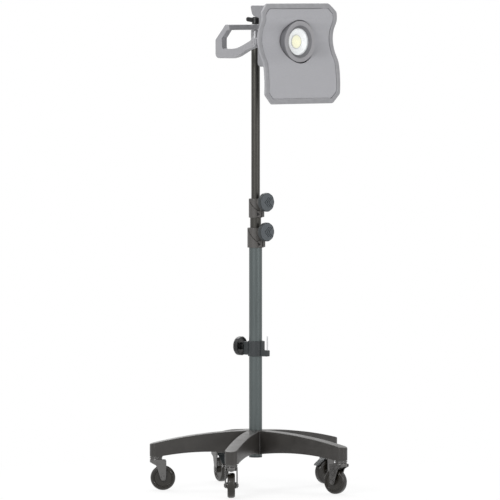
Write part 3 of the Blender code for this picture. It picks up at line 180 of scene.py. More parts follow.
class Look(Graph):
    """A finish: one material built on its object's own coordinates."""

    def __init__(self, name, roughness, metallic=0.0, **fixed):
        self.material = bpy.data.materials.new(name)
        self.material.use_nodes = True
        super().__init__(self.material.node_tree)
        self.shader = self.tree.nodes["Principled BSDF"]
        self.place = self.node("ShaderNodeTexCoord").outputs["Object"]
        self.surface({"Roughness": roughness, "Metallic": metallic, **fixed})

    def surface(self, values):
        for name, value in values.items():
            self.feed(self.shader.inputs[name], value)

    def noise(self, scale, detail=2.0, stretch=(1, 1, 1)):
        """Noise with so many cells to the metre, drawn out by a stretch."""
        values = {"Vector": self.place, "Scale": stretch}
        placed = self.node("ShaderNodeMapping", {}, values).outputs[0]
        values = {"Vector": placed, "Scale": scale, "Detail": detail}
        return Number(self, self.node("ShaderNodeTexNoise", {}, values).outputs["Fac"])

    def cells(self, scale):
        values = {"Vector": self.place, "Scale": scale}
        return Number(self, self.node("ShaderNodeTexVoronoi", {}, values).outputs["Distance"])

    def mixed(self, amount, first, second):
        values = {0: amount, 6: first, 7: second}
        return self.node("ShaderNodeMix", {"data_type": "RGBA"}, values).outputs[2]

    def dressed(self, colour, height, depth, **more):
        """The finish with its colour, its relief and whatever else changes over it."""
        made = self.node("ShaderNodeBump", {}, {"Height": height, "Distance": depth})
        self.surface({"Base Color": colour, "Normal": made.outputs[0], **more})
        return self


def shade(red, green, blue):
    """A screen colour from 0 to 255 as the linear colour that materials take."""
    return tuple((c / 255) ** 2.2 for c in (red, green, blue))


def darker(colour, part):
    return tuple(c * part for c in colour)


# Finishes

def powder_coat():
    """Charcoal powder coat: fine orange peel, a little dust in the hollows of the texture."""
    look = Look("charcoal_powder_coat", 0.4, 0.0, **{"Specular IOR Level": 0.5})
    base = shade(48, 46, 44)
    dust = look.noise(26, 4).stretched(0.42, 0.72)
    grain = look.noise(900, 2)
    colour = look.mixed(grain.stretched(0.35, 0.7), darker(base, 0.86), darker(base, 1.12))
    colour = look.mixed(dust * 0.25, colour, shade(64, 61, 58))
    gloss = 0.28 + dust * 0.1 + grain * 0.06
    return look.dressed(colour, look.noise(420, 3) + grain * 0.4, 0.0004, Roughness=gloss)


def drawn_tube(name, colour, roughness):
    """Anodised tube with the faint lengthwise lines of drawing and rubbed patches."""
    look = Look(name, roughness, 0.8)
    lines = look.noise(1500, 2, (1, 1, 0.012))
    rubbed = look.noise(14, 3, (1, 1, 0.35)).stretched(0.45, 0.75)
    colours = look.mixed(lines.stretched(0.3, 0.7), darker(colour, 0.9), darker(colour, 1.08))
    colours = look.mixed(rubbed * 0.25, colours, darker(colour, 1.3))
    gloss = roughness - 0.05 + lines * 0.08 + rubbed * 0.06
    return look.dressed(colours, lines, 0.00006, Roughness=gloss)


def spark_plastic(name, colour, roughness, cells=650, depth=0.00018):
    """Moulded plastic with a spark-eroded texture and slightly shiny handled patches."""
    look = Look(name, roughness)
    texture = look.noise(cells, 3)
    clouds = look.noise(18, 3).stretched(0.35, 0.7)
    tint = look.mixed(texture.stretched(0.3, 0.72), darker(colour, 0.9), darker(colour, 1.09))
    tint = look.mixed(clouds * 0.22, tint, darker(colour, 0.88))
    gloss = roughness + 0.07 - clouds * 0.12 + texture * 0.05
    return look.dressed(tint, texture, depth, Roughness=gloss)


def worn_steel(name, colour, roughness):
    """Plated steel with fine scratches and dull spots."""
    look = Look(name, roughness, 1.0)
    scratches = look.noise(500, 2, (1, 0.08, 1))
    spots = look.noise(90, 3).stretched(0.5, 0.75)
    tint = look.mixed(spots * 0.5, colour, darker(colour, 0.7))
    gloss = roughness + scratches * 0.1 + spots * 0.18
    return look.dressed(tint, scratches, 0.00005, Roughness=gloss)


def soft_rubber(name, colour, roughness):
    """Rubber with a dusty bloom."""
    look = Look(name, roughness)
    bloom = look.noise(60, 4).stretched(0.4, 0.75)
    tint = look.mixed(bloom * 0.35, colour, darker(colour, 1.5))
    gloss = roughness + bloom * 0.15
    return look.dressed(tint, look.noise(800, 2), 0.00015, Roughness=gloss)


def glowing_white_coat():
    """The reflector's white coat, with a painted glow that lightens it as if lit."""
    look = Look("reflector_white", 0.25)
    # Painted glow: a faint emission stands in for light caught by the reflector.
    look.surface({"Emission Color": (0.95, 0.98, 1.0), "Emission Strength": 0.1})
    tint = look.mixed(look.noise(60, 2), (0.93, 0.95, 0.96), (0.99, 0.99, 0.99))
    return look.dressed(tint, look.noise(700, 2), 0.00003)


def phosphor():
    """Pale yellow coat over the light source, with a grid of faint bumps."""
    look = Look("phosphor_yellow", 0.4)
    grid = look.cells(420)
    warm = look.mixed(grid.stretched(0.1, 0.6), (0.93, 0.9, 0.56), (0.96, 0.94, 0.66))
    look.surface({"Emission Color": (1.0, 0.96, 0.72), "Emission Strength": 0.2})
    return look.dressed(warm, grid, 0.0002)


def clear_glass():
    look = Look("lens_clear", 0.04, 0.0, **{"IOR": 1.5})
    haze = look.noise(35, 3).stretched(0.4, 0.8)
    look.surface({"Base Color": look.mixed(haze, (0.95, 0.98, 1.0), (0.98, 1.0, 1.0))})
    look.surface({"Roughness": 0.03 + haze * 0.05, "Alpha": 0.1 + haze * 0.06})
    return look


COAT = powder_coat()
TUBE = drawn_tube("anodised_grey", shade(88, 94, 94), 0.36)
DARK_TUBE = drawn_tube("anodised_bronze", shade(68, 67, 64), 0.38)
GREY_METAL = drawn_tube("adapter_grey", shade(150, 150, 152), 0.42)
COLLAR = spark_plastic("collar_plastic", shade(74, 72, 70), 0.42)
BLACK = spark_plastic("black_plastic", shade(40, 44, 46), 0.42)
JET = spark_plastic("jet_plastic", shade(15, 17, 18), 0.3)
SLATE = spark_plastic("slate_plastic", shade(76, 81, 85), 0.45)
LIGHT_GREY = spark_plastic("light_grey_plastic", shade(168, 168, 172), 0.5, 520)
CASING = spark_plastic("casing_plastic", shade(136, 136, 139), 0.5, 520)
BAIL_GREY = spark_plastic("bail_grey_plastic", shade(150, 150, 153), 0.45, 520)
MID_GREY = spark_plastic("bezel_grey_plastic", shade(152, 151, 154), 0.42, 700)
# The bezel's plastic, darkened for its side wall and mouth: painted shade.
BEZEL_SHADE_GREY = spark_plastic("bezel_shade_grey_plastic", shade(104, 104, 107), 0.42, 700)
RIM = soft_rubber("rim_rubber", shade(145, 145, 148), 0.55)
WHEEL = spark_plastic("wheel_plastic", shade(38, 35, 30), 0.26, 500, 0.0001)
TYRE = soft_rubber("tread_rubber", shade(34, 31, 27), 0.24)
FORK = worn_steel("blackened_steel", shade(106, 105, 104), 0.18)
BRIGHT = worn_steel("bright_steel", shade(200, 200, 202), 0.22)
ALUMINIUM = worn_steel("plain_aluminium", shade(190, 190, 192), 0.4)
NYLON = spark_plastic("white_nylon", shade(214, 214, 210), 0.5, 300)
# The reflector's finish, with its painted glow.
WHITE = glowing_white_coat()
YELLOW = phosphor()
GLASS = clear_glass()
# Near-black that paints the shade inside the vents and the pinch bolts' pockets: painted shade.
SHADOW_BLACK = spark_plastic("shadow_black", shade(12, 12, 13), 0.6, 300)


# Shape tools

MERGE = 1e-6
STRAIGHT = 1.55
SHARP = math.radians(50)


def shift(x=0.0, y=0.0, z=0.0):
    return Matrix.Translation((x, y, z))


def spin(angle, axis="Z"):
    return Matrix.Rotation(angle, 4, axis)


FRONT = spin(math.pi / 2, "X")
BACK = spin(-math.pi / 2, "X")
SIDE = spin(-math.pi / 2) @ FRONT


def rounded(outline, size, steps=3):
    """An outline with rounded corners. A point's third value is its own radius."""
    found = []
    for i, point in enumerate(outline):
        here = Vector(point[:2])
        radius = point[2] if len(point) > 2 else size
        before = Vector(outline[i - 1][:2]) - here
        after = Vector(outline[(i + 1) % len(outline)][:2]) - here
        half = before.angle(after) / 2
        if radius <= 0 or half > STRAIGHT:
            found.append(here)
            continue
        reach = min(radius / math.tan(half), 0.48 * before.length, 0.48 * after.length)
        before.normalize()
        after.normalize()
        centre = here + (before + after).normalized() * (reach / math.cos(half))
        arm = here + before * reach - centre
        sweep = arm.angle_signed(here + after * reach - centre)
        for step in range(steps + 1):
            turn = Matrix.Rotation(-sweep * step / steps, 2)
            found.append(centre + turn @ arm)
    return found


def drawn(name, shape):
    mesh = bpy.data.meshes.new(name)
    shape.to_mesh(mesh)
    shape.free()
    return in_scene(name, mesh)


def as_piece(name, shape, place=None):
    """The shape as an object, with its place in the mesh."""
    bmesh.ops.remove_doubles(shape, verts=shape.verts, dist=MERGE)
    bmesh.ops.recalc_face_normals(shape, faces=shape.faces)
    if place:
        shape.transform(place)
    return drawn(name, shape)


def strips(shape, rings, closed_row=False):
    """Quads between neighbouring closed rings of points. A ring of one point is a pole."""
    pairs = list(zip(rings, rings[1:]))
    if closed_row:
        pairs.append((rings[-1], rings[0]))
    for first, second in pairs:
        f, s = len(first), len(second)
        for i in range(max(f, s)):
            n = (i + 1) % max(f, s)
            corners = (first[i % f], second[i % s], second[n % s], first[n % f])
            corners = list(dict.fromkeys(corners))
            if len(corners) > 2:
                shape.faces.new(corners)


def lathe(name, profile, place=None, edge=0.0005, steps=64, bend=2, wave=None):
    """A turned shape about +Z. The (radius, height) profile runs down its outer side."""
    line = rounded([(*p[:2], 0) if p[0] == 0 else p for p in profile], edge, bend)
    shape = bmesh.new()
    rings = []
    for radius, height in line:
        if radius < MERGE:
            rings.append([shape.verts.new((0, 0, height))])
            continue
        ring = []
        for i in range(steps):
            angle = math.tau * i / steps
            far = wave(radius, height, angle) if wave else radius
            ring.append(shape.verts.new((far * math.cos(angle), far * math.sin(angle), height)))
        rings.append(ring)
    strips(shape, rings, closed_row=line[0][0] > MERGE)
    return as_piece(name, shape, place)


def plug(radius, low, high):
    """The profile of a plain round bar or hole."""
    return [(0, high), (radius, high), (radius, low), (0, low)]


def wound(outline, left):
    """The outline's points in one direction: anticlockwise where left is true."""
    points = [Vector(p[:2]) for p in outline]
    area = sum(a.x * b.y - b.x * a.y for a, b in zip(points, points[1:] + points[:1]))
    return points if (area > 0) == left else points[::-1]


def drawn_in(points, distance):
    """The points moved to the left of their path."""
    found = []
    for i, here in enumerate(points):
        into = (here - points[i - 1]).normalized()
        out = (points[(i + 1) % len(points)] - here).normalized()
        across = Vector((-into.y - out.y, into.x + out.x)).normalized()
        cosine = max(0.5, across.dot(Vector((-into.y, into.x))))
        found.append(here + across * distance / cosine)
    return found


def slab(name, outline, low, high, place=None, edge=0.0008, bend=2, holes=()):
    """A flat outline from one height to another, its rims rounded over."""
    shape = bmesh.new()
    stages = []
    for step in range(bend + 1):
        angle = math.pi / 2 * step / bend
        stages.append((edge * (1 - math.sin(angle)), edge * (1 - math.cos(angle))))
    levels = [(inset, low + rise) for inset, rise in stages]
    levels += [(inset, high - rise) for inset, rise in reversed(stages)]
    ends = ([], [])
    for path, left in [(outline, True), *((hole, False) for hole in holes)]:
        path = wound(path, left)
        rings = []
        for inset, height in levels:
            ring = [shape.verts.new((p.x, p.y, height)) for p in drawn_in(path, inset)]
            rings.append(ring)
        strips(shape, rings)
        ends[0].append(rings[0])
        ends[1].append(rings[-1])
    for loops in ends:
        flat = [v for loop in loops for v in loop]
        for corners in tessellate_polygon([[v.co for v in loop] for loop in loops]):
            shape.faces.new([flat[i] for i in corners])
    return as_piece(name, shape, place)


def block(name, low, high, place=None, edge=0.001, corner=0.0, bend=2):
    """A box between two corners with rounded rims, and rounded corners seen from above."""
    outline = [(low[0], low[1]), (high[0], low[1]), (high[0], high[1]), (low[0], high[1])]
    plan = rounded(outline, corner or edge, 3)
    return slab(name, plan, low[2], high[2], place, edge, bend)


def circle(radius, steps=40, centre=(0, 0)):
    turns = [math.tau * i / steps for i in range(steps)]
    return [(centre[0] + radius * math.cos(t), centre[1] + radius * math.sin(t)) for t in turns]


def arc(centre, radius, start, end, steps):
    turns = [math.radians(start + (end - start) * i / steps) for i in range(steps + 1)]
    return [(centre[0] + radius * math.cos(t), centre[1] + radius * math.sin(t)) for t in turns]


def smooth_through(points, steps):
    """Points of a smooth curve that passes through the given ones."""
    ends = [points[0], *points, points[-1]]
    found = []
    for i in range(1, len(points)):
        before, start, end, after = (Vector(p) for p in ends[i - 1 : i + 3])
        for step in range(steps):
            t = step / steps
            pull = (end - before) * t + (2 * before - 5 * start + 4 * end - after) * t**2
            pull += (3 * start - before - 3 * end + after) * t**3
            found.append(tuple(start + pull / 2))
    return [*found, tuple(points[-1])]


def baked(piece):
    """The piece with its modifiers made part of its mesh."""
    bpy.context.view_layer.update()
    evaluated = piece.evaluated_get(bpy.context.evaluated_depsgraph_get())
    mesh = bpy.data.meshes.new_from_object(evaluated)
    piece.modifiers.clear()
    piece.data = mesh
    return piece


def shaped(piece, operation, *tools):
    """The piece with tools cut from it or joined to it."""
    for tool in tools:
        modifier = piece.modifiers.new("shape", "BOOLEAN")
        modifier.operation = operation
        modifier.object = tool
        modifier.solver = "MANIFOLD"
    baked(piece)
    for tool in tools:
        bpy.data.objects.remove(tool)
    return piece


def cut(piece, *tools):
    return shaped(piece, "DIFFERENCE", *tools)


def joined(piece, *tools):
    return shaped(piece, "UNION", *tools)


def gathered(name, *parts):
    """Several meshes as one."""
    shape = bmesh.new()
    for part in parts:
        shape.from_mesh(part.data)
        bpy.data.objects.remove(part)
    return drawn(name, shape)


def turned_copy(piece, name, place):
    """Another of the same shape in another place."""
    made = in_scene(name, piece.data.copy())
    made.data.transform(place)
    return made


# Geometry Nodes trees for what repeats

def repeat_tree(name, in_ring):
    """Copies of the piece's own mesh in a row, or round a ring about its Z axis."""
    tree = bpy.data.node_groups.new(name, "GeometryNodeTree")
    graph = Graph(tree)
    sockets = [("Pattern", "Geometry"), ("Count", "Int"), ("Finish", "Material")]
    sockets += [("Radius", "Float"), ("Start", "Float")] if in_ring else [("Step", "Vector")]
    for label, kind in sockets:
        tree.interface.new_socket(label, in_out="INPUT", socket_type=f"NodeSocket{kind}")
    tree.interface.new_socket("Result", in_out="OUTPUT", socket_type="NodeSocketGeometry")
    given = graph.node("NodeGroupInput").outputs
    if in_ring:
        values = {"Vertices": given["Count"], "Radius": given["Radius"]}
        line = graph.node("GeometryNodeMeshCircle", {"fill_type": "NONE"}, values)
        index = Number(graph, graph.node("GeometryNodeInputIndex").outputs[0])
        angle = index * math.tau / Number(graph, given["Count"])
        spun = graph.node("ShaderNodeCombineXYZ", {}, {"Z": angle})
        turned = graph.node("FunctionNodeEulerToRotation", {}, {0: spun.outputs[0]})
        values = {"Points": line.outputs[0], "Instance": given["Pattern"]}
        values["Rotation"] = turned.outputs[0]
    else:
        values = {"Count": given["Count"], "Offset": given["Step"]}
        line = graph.node("GeometryNodeMeshLine", {"mode": "OFFSET"}, values)
        values = {"Points": line.outputs[0], "Instance": given["Pattern"]}
    copies = graph.node("GeometryNodeInstanceOnPoints", {}, values).outputs[0]
    if in_ring:
        start = graph.node("ShaderNodeCombineXYZ", {}, {"Z": given["Start"]}).outputs[0]
        values = {"Geometry": copies, "Rotation": start}
        copies = graph.node("GeometryNodeTransform", {}, values).outputs[0]
    real = graph.node("GeometryNodeRealizeInstances", {}, {0: copies}).outputs[0]
    values = {"Geometry": real, "Material": given["Finish"]}
    finished = graph.node("GeometryNodeSetMaterial", {}, values).outputs[0]
    graph.node("NodeGroupOutput", {}, {0: finished})
    return tree


RING = repeat_tree("ring_of_copies", True)
ROW = repeat_tree("row_of_copies", False)


def repeated(pattern, tree, look, place=None, **inputs):
    """The pattern repeated by a tree, as one plain mesh."""
    modifier = pattern.modifiers.new("repeat", "NODES")
    modifier.node_group = tree
    inputs["Finish"] = look.material
    for item in tree.interface.items_tree:
        if item.in_out == "INPUT" and item.name in inputs:
            modifier[item.identifier] = inputs[item.name]
    baked(pattern)
    if place:
        pattern.data.transform(place)
    return pattern


# Fitting pieces to their bodies

def smoothed(piece):
    """Smooth shading that keeps flat faces flat."""
    piece.data.shade_smooth()
    piece.data.set_sharp_from_angle(angle=SHARP)
    modifier = piece.modifiers.new("shading", "WEIGHTED_NORMAL")
    modifier.keep_sharp = True
    return baked(piece)


def coat(piece, look):
    """Gives the piece the look as its only finish."""
    piece.data.materials.clear()
    piece.data.materials.append(look.material)


def add(piece, look, node):
    """Finishes a piece that rides with a node's body."""
    coat(smoothed(piece), look)
    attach(piece, body_of[node])
    return piece


def fit(piece, look, node):
    """Finishes a piece that stands for a node, and hides the node."""
    add(piece, look, node)
    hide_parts(node)


def fit_turned(node, look, profile, *shape):
    """Fits a turned piece that stands for one node."""
    fit(lathe(f"{node}_shape", profile, *shape), look, node)


stand = shift(MAST.x, MAST.y)

# Castors, in a frame with the swivel axis at the origin and the wheel behind it
AXLE_LEVEL = 0.0375
WHEEL_RADIUS = 0.0375
TYRE_WIDTH = 0.0225
TYRE_DEPTH = 0.0082
CASTOR_TRAIL = 0.0205
CROWN_BOTTOM = 0.083
CROWN_TOP = 0.094
FORK_GAP = 0.0305
LEG_THICKNESS = 0.004
LEG_BACK = 0.03
LEG_TIP_RADIUS = 0.0085
LEG_RING_RADIUS = 0.0075
LEG_RING_BORE = 0.0052
LEG_RING_HEIGHT = 0.0006
CROWN_FRONT = 0.019
CROWN_BACK = 0.02
FORK_HALF_WIDTH = FORK_GAP / 2 + LEG_THICKNESS
STEM_TOP = ARM_END_BOTTOM + 0.024
RACE_RADIUS = 0.0192
RACE_NECK = 0.0162
RACE_STEP = 0.0181
RACE_DROP = 0.0018
GAP = 0.0003
PEDAL_BACK = 0.025
PEDAL_DROP = 0.01
PEDAL_SLOPE = math.radians(35.5)
PEDAL_REACH = 0.044
PEDAL_WIDTH = 0.026
PEDAL_RIBS = 6
PEDAL_RIB_PITCH = 0.0036
AXLE_RADIUS = 0.004
WASHER_RADIUS = 0.0065
WASHER_THICKNESS = 0.0007
BOLT_SIDES = 6
BOLT_HEAD_RADIUS = 0.0056
BOLT_HEAD_HEIGHT = 0.0015
STEM_RADIUS = 0.0055
KINGPIN_RADIUS = 0.005
WEB_HALF = 0.0085
PEDAL_BARREL = 0.0035
PEDAL_PIN = 0.0022


def castor_stem():
    """Stem, two-part swivel race and the kingpin's rivet."""
    race_top = ARM_END_BOTTOM - RACE_DROP
    return lathe(
        "stem_shape",
        [
            (0, STEM_TOP), (STEM_RADIUS, STEM_TOP), (STEM_RADIUS, ARM_END_BOTTOM - GAP),
            (RACE_NECK, ARM_END_BOTTOM - GAP), (RACE_NECK, race_top),
            (RACE_RADIUS, race_top - 0.0004), (RACE_RADIUS, race_top - 0.0019),
            (RACE_STEP, race_top - 0.0021), (RACE_STEP, race_top - 0.0026),
            (RACE_RADIUS - 0.0006, race_top - 0.0028), (RACE_RADIUS - 0.0006, race_top - 0.0044),
            (RACE_NECK, race_top - 0.0048), (RACE_NECK, CROWN_TOP + GAP),
            (KINGPIN_RADIUS, CROWN_TOP + GAP), (KINGPIN_RADIUS, CROWN_BOTTOM - GAP),
            (0.008, CROWN_BOTTOM - GAP), (0.007, CROWN_BOTTOM - 0.0022),
            (0.004, CROWN_BOTTOM - 0.0033), (0, CROWN_BOTTOM - 0.0033),
        ],
        edge=0.0002,
        steps=40,
    )


def castor_leg(side):
    """One raked cheek of the fork with a pressed rim round the axle."""
    outline = [
        (CROWN_FRONT - LEG_THICKNESS, CROWN_BOTTOM + 0.008), (-LEG_BACK, CROWN_BOTTOM + 0.008),
        (-LEG_BACK, CROWN_BOTTOM - 0.004, 0.008),
    ]
    outline += arc((-CASTOR_TRAIL, AXLE_LEVEL), LEG_TIP_RADIUS, 190, 350, 14)
    outline += [(0, CROWN_BOTTOM - 0.008, 0.01), (CROWN_FRONT - LEG_THICKNESS, CROWN_BOTTOM)]
    near = side * FORK_GAP / 2
    far = side * FORK_HALF_WIDTH
    low, high = sorted((-near, -far))
    leg = slab("leg", rounded(outline, 0.002, 4), low, high, FRONT, 0.0009)
    ring = [(LEG_RING_RADIUS, LEG_RING_HEIGHT), (LEG_RING_RADIUS, 0)]
    ring += [(LEG_RING_BORE, 0), (LEG_RING_BORE, LEG_RING_HEIGHT)]
    seat = far - side * LEG_RING_HEIGHT
    place = shift(-CASTOR_TRAIL, seat, AXLE_LEVEL) @ (BACK if side > 0 else FRONT)
    return gathered("leg_shape", leg, lathe("ring", ring, place, 0.0002, 32))


def castor_fork():
    half = FORK_HALF_WIDTH - 0.0004
    plan = [(-CROWN_BACK, -half, 0.003), *arc((0, 0), half, -90, 90, 20)]
    plan += [(-CROWN_BACK, half, 0.003)]
    crown = slab(
        "crown", rounded(plan, 0, 3), CROWN_BOTTOM, CROWN_TOP, edge=0.0022, bend=3,
        holes=[circle(KINGPIN_RADIUS + GAP, 24)],
    )
    return gathered("fork_shape", crown, castor_leg(-1), castor_leg(1))


def castor_axle():
    """The wheel's bolt: a washer and a six-sided head at each side."""
    seat = FORK_HALF_WIDTH + GAP
    face = seat + WASHER_THICKNESS
    parts = [lathe("rod", plug(AXLE_RADIUS, -seat, seat), FRONT, 0, 24)]
    for turn in (FRONT, BACK):
        parts.append(lathe("washer", plug(WASHER_RADIUS, seat, face), turn, 0.0002, 32))
        head = circle(BOLT_HEAD_RADIUS, BOLT_SIDES)
        parts.append(slab("head", head, face, face + BOLT_HEAD_HEIGHT, turn, 0.0004))
    return gathered("axle_shape", *parts)


def wheel_core():
    """Hub, solid web and rim of the wheel."""
    rim = WHEEL_RADIUS - TYRE_DEPTH - GAP
    half_rim = TYRE_WIDTH / 2 - GAP
    half_hub = FORK_GAP / 2 - GAP
    upper = [
        (AXLE_RADIUS + GAP, half_hub), (0.009, half_hub), (0.0102, WEB_HALF),
        (rim - 0.0035, WEB_HALF), (rim - 0.0025, half_rim), (rim, half_rim),
    ]
    lower = [(radius, -height) for radius, height in reversed(upper)]
    return lathe("core_shape", upper + lower, FRONT, 0.0006, 64)


def wheel_tyre():
    """Rounded tread, crowned slightly towards its middle."""
    half = TYRE_WIDTH / 2
    seat = WHEEL_RADIUS - TYRE_DEPTH
    profile = [
        (WHEEL_RADIUS - 0.0035, half, 0.0015), (WHEEL_RADIUS - 0.0003, half - 0.0045, 0.004),
        (WHEEL_RADIUS, 0.0, 0), (WHEEL_RADIUS - 0.0003, 0.0045 - half, 0.004),
        (WHEEL_RADIUS - 0.0035, -half, 0.0015), (seat, -half), (seat, half),
    ]
    return lathe("tyre_shape", profile, FRONT, 0.0005, 88)


def brake_pedal():
    """Foot lever with grip ribs, its pivot at the origin."""
    half = PEDAL_WIDTH / 2
    barrel = plug(PEDAL_BARREL, -half, half)
    pin = plug(PEDAL_PIN, -FORK_HALF_WIDTH, FORK_HALF_WIDTH)
    edge = half - 0.0004
    plan = [(0, -edge), (0, edge), (-PEDAL_REACH, edge, 0.006), (-PEDAL_REACH, -edge, 0.006)]
    tilt = spin(-PEDAL_SLOPE, "Y")
    plate = slab("plate", rounded(plan, 0.0005, 5), -0.00125, 0.00075, tilt, 0.0005)
    rib = block("rib", (-0.0007, 0.003 - half, 0), (0.0007, half - 0.003, 0.0006), None, 0.0002)
    place = tilt @ shift(-PEDAL_REACH + 0.005, 0, 0.00065)
    ribs = repeated(rib, ROW, BLACK, place, Count=PEDAL_RIBS, Step=(PEDAL_RIB_PITCH, 0, 0))
    rods = [lathe("barrel", barrel, FRONT, 0.0003, 32), lathe("pin", pin, FRONT, 0.0002, 20)]
    return gathered("pedal_shape", *rods, plate, ribs)


def fit_castors():
    shapes = {
        "stem": (castor_stem(), FORK), "fork": (castor_fork(), FORK), "axle": (castor_axle(), FORK),
        "wheel_core": (wheel_core(), WHEEL), "tyre": (wheel_tyre(), TYRE),
        "brake_pedal": (brake_pedal(), BLACK),
    }
    hub = shift(-CASTOR_TRAIL, 0, AXLE_LEVEL)
    pivot = shift(-PEDAL_BACK, 0, CROWN_TOP - PEDAL_DROP)
    local = {"axle": hub, "wheel_core": hub, "tyre": hub, "brake_pedal": pivot}
    for number in range(1, 6):
        swivel = Vector(joints[f"castor_{number}_swivel"]["pos_m"])
        wheel = Vector(joints[f"castor_{number}_roll"]["pos_m"])
        turn = math.atan2(swivel.y - wheel.y, swivel.x - wheel.x)
        place = shift(swivel.x, swivel.y) @ spin(turn)
        for kind, (shape, look) in shapes.items():
            node = f"castor_{number}_{kind}"
            if node in nodes:
                within = place @ local.get(kind, Matrix.Identity(4))
                fit(turned_copy(shape, f"{node}_shape", within), look, node)
    for shape, _ in shapes.values():
        bpy.data.objects.remove(shape)


fit_castors()

# Base casting: a hub with five arched channel arms
SWIVEL_CIRCLE = 0.3
ARM_HALF = 0.019
ARM_WALL = 0.0045
ARM_ARCH = 0.0395
ARM_REACH = SWIVEL_CIRCLE + ARM_HALF
HUB_TOP = 0.179
HUB_RADIUS = 0.034
HUB_GROOVE = 0.0007
UNDERSIDE_PEAK = 0.116
UNDERSIDE_DROP = 0.012
UNDERSIDE_PEAK_RADIUS = 0.14
BOSS_EDGE = SWIVEL_CIRCLE - ARM_HALF
CHANNEL_START = 0.05
CHANNEL_END = 0.2885
ARM_ROOT = 0.0245
ARM_CHAMFER = 0.0016
ARM_STEPS = 30
ARM_END_STEPS = 10


def arm_top(radius):
    return HUB_TOP - ARM_ARCH * (radius / ARM_REACH) ** 2


def arm_underside(radius):
    if radius > BOSS_EDGE:
        return ARM_END_BOTTOM
    part = (radius - UNDERSIDE_PEAK_RADIUS) / (BOSS_EDGE - UNDERSIDE_PEAK_RADIUS)
    return UNDERSIDE_PEAK - UNDERSIDE_DROP * part**2


def arm_station(shape, radius, turn, hollow):
    """The points of an arm's section. Past the castor's axis the section swings round it."""

    def point(out, drop=None):
        x = radius + abs(out) * math.sin(turn)
        y = out * math.cos(turn)
        level = arm_underside(min(x, radius)) if drop is None else arm_top(x) - drop
        return shape.verts.new((x, y, level))

    half, inner, rim = ARM_HALF, ARM_HALF - ARM_WALL, ARM_HALF - ARM_CHAMFER
    outside = [
        point(-half), point(-half, ARM_CHAMFER), point(-rim, 0), point(rim, 0),
        point(half, ARM_CHAMFER), point(half), point(inner),
    ]
    roof = [point(inner, ARM_WALL), point(-inner, ARM_WALL)] if hollow else []
    return [*outside, *roof, point(-inner)]


def arm_shape():
    radii = [ARM_ROOT + (BOSS_EDGE - ARM_ROOT) * i / ARM_STEPS for i in range(ARM_STEPS + 1)]
    radii = sorted({*radii, CHANNEL_START, CHANNEL_END, BOSS_EDGE + MERGE * 4, SWIVEL_CIRCLE})
    stations = [(radius, 0.0) for radius in radii]
    stations += [
        (SWIVEL_CIRCLE, math.pi / 2 * i / ARM_END_STEPS) for i in range(1, ARM_END_STEPS + 1)
    ]
    shape = bmesh.new()
    before = None
    for radius, turn in stations:
        opens = before is not None and radius == CHANNEL_START
        closes = radius == CHANNEL_END
        hollow = CHANNEL_START < radius < CHANNEL_END
        section = arm_station(shape, radius, turn, hollow or opens or closes)
        solid = section[:7] + section[-1:]
        if before is None:
            shape.faces.new(solid)
        elif hollow or closes:
            strips(shape, [before, section])
        else:
            strips(shape, [before, solid])
        if opens or closes:
            shape.faces.new(section[6:])
        before = solid if closes else section
    return as_piece("arm_shape", shape)


def fit_base():
    bore = radius_of("lower_tube") + GAP
    hub = lathe(
        "hub",
        [
            (HUB_RADIUS, HUB_LIP_TOP, 0.0016), (HUB_RADIUS, 0.1762, 0.0004),
            (HUB_RADIUS - HUB_GROOVE, 0.1757, 0.0002), (HUB_RADIUS - HUB_GROOVE, 0.1747, 0.0002),
            (HUB_RADIUS, 0.1742, 0.0004), (HUB_RADIUS, HUB_BOTTOM, 0.001), (bore, HUB_BOTTOM),
            (bore, HUB_LIP_TOP, 0.001),
        ],
        stand,
        steps=96,
        bend=3,
    )
    arm = arm_shape()
    parts = [hub]
    for number in range(1, 6):
        swivel = Vector(joints[f"castor_{number}_swivel"]["pos_m"]) - MAST
        place = stand @ spin(math.atan2(swivel.y, swivel.x))
        parts.append(turned_copy(arm, "arm", place))
    bpy.data.objects.remove(arm)
    fit(gathered("base_casting_shape", *parts), COAT, "base_casting")


fit_base()


# Mast tubes, drawn with a wall and softened ends
TUBE_WALL = 0.0015


def fit_tube(node, look):
    radius = radius_of(node)
    low, high = (corner.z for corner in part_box(node))
    inner = radius - TUBE_WALL
    profile = [(radius, high), (radius, low), (inner, low), (inner, high)]
    fit_turned(node, look, profile, stand, 0.0004, 72)


fit_tube("lower_tube", TUBE)
fit_tube("mid_tube", DARK_TUBE)
fit_tube("upper_tube", DARK_TUBE)
for hidden in ("mid_foot_bush", "upper_foot_bush", "lower_brake_shoe", "upper_brake_shoe"):
    coat(nodes[hidden], NYLON)
coat(nodes["mast_foot_plug"], BLACK)
coat(nodes["heat_sink"], ALUMINIUM)

# Clamp collars and their lock knobs
COLLAR_GRIP = 0.029
COLLAR_CHAMFER = 0.0015
KNOB_BOSS_RADIUS = 0.0135
KNOB_BOSS_REACH = 0.037
EAR_HEIGHT = 0.018
EAR_FOOT = 0.002
EAR_REACH = 0.0062
EAR_HALF_WIDTH = 0.012
EAR_SLOT = 0.0025
PINCH_OFFSET = 0.0012
PINCH_POCKET = 0.0052
PINCH_HEAD = 0.0042
PINCH_SHANK = 0.0022
GUSSET_HALF = 0.003
SHOE_LENGTH = 0.0055
SEAM_WIDTH = 0.0024
SEAM_DEPTH = 0.0026
SEAM_REACH = 0.045
SEAM_RISE = 0.024
SEAM_SLOPE = math.radians(50)


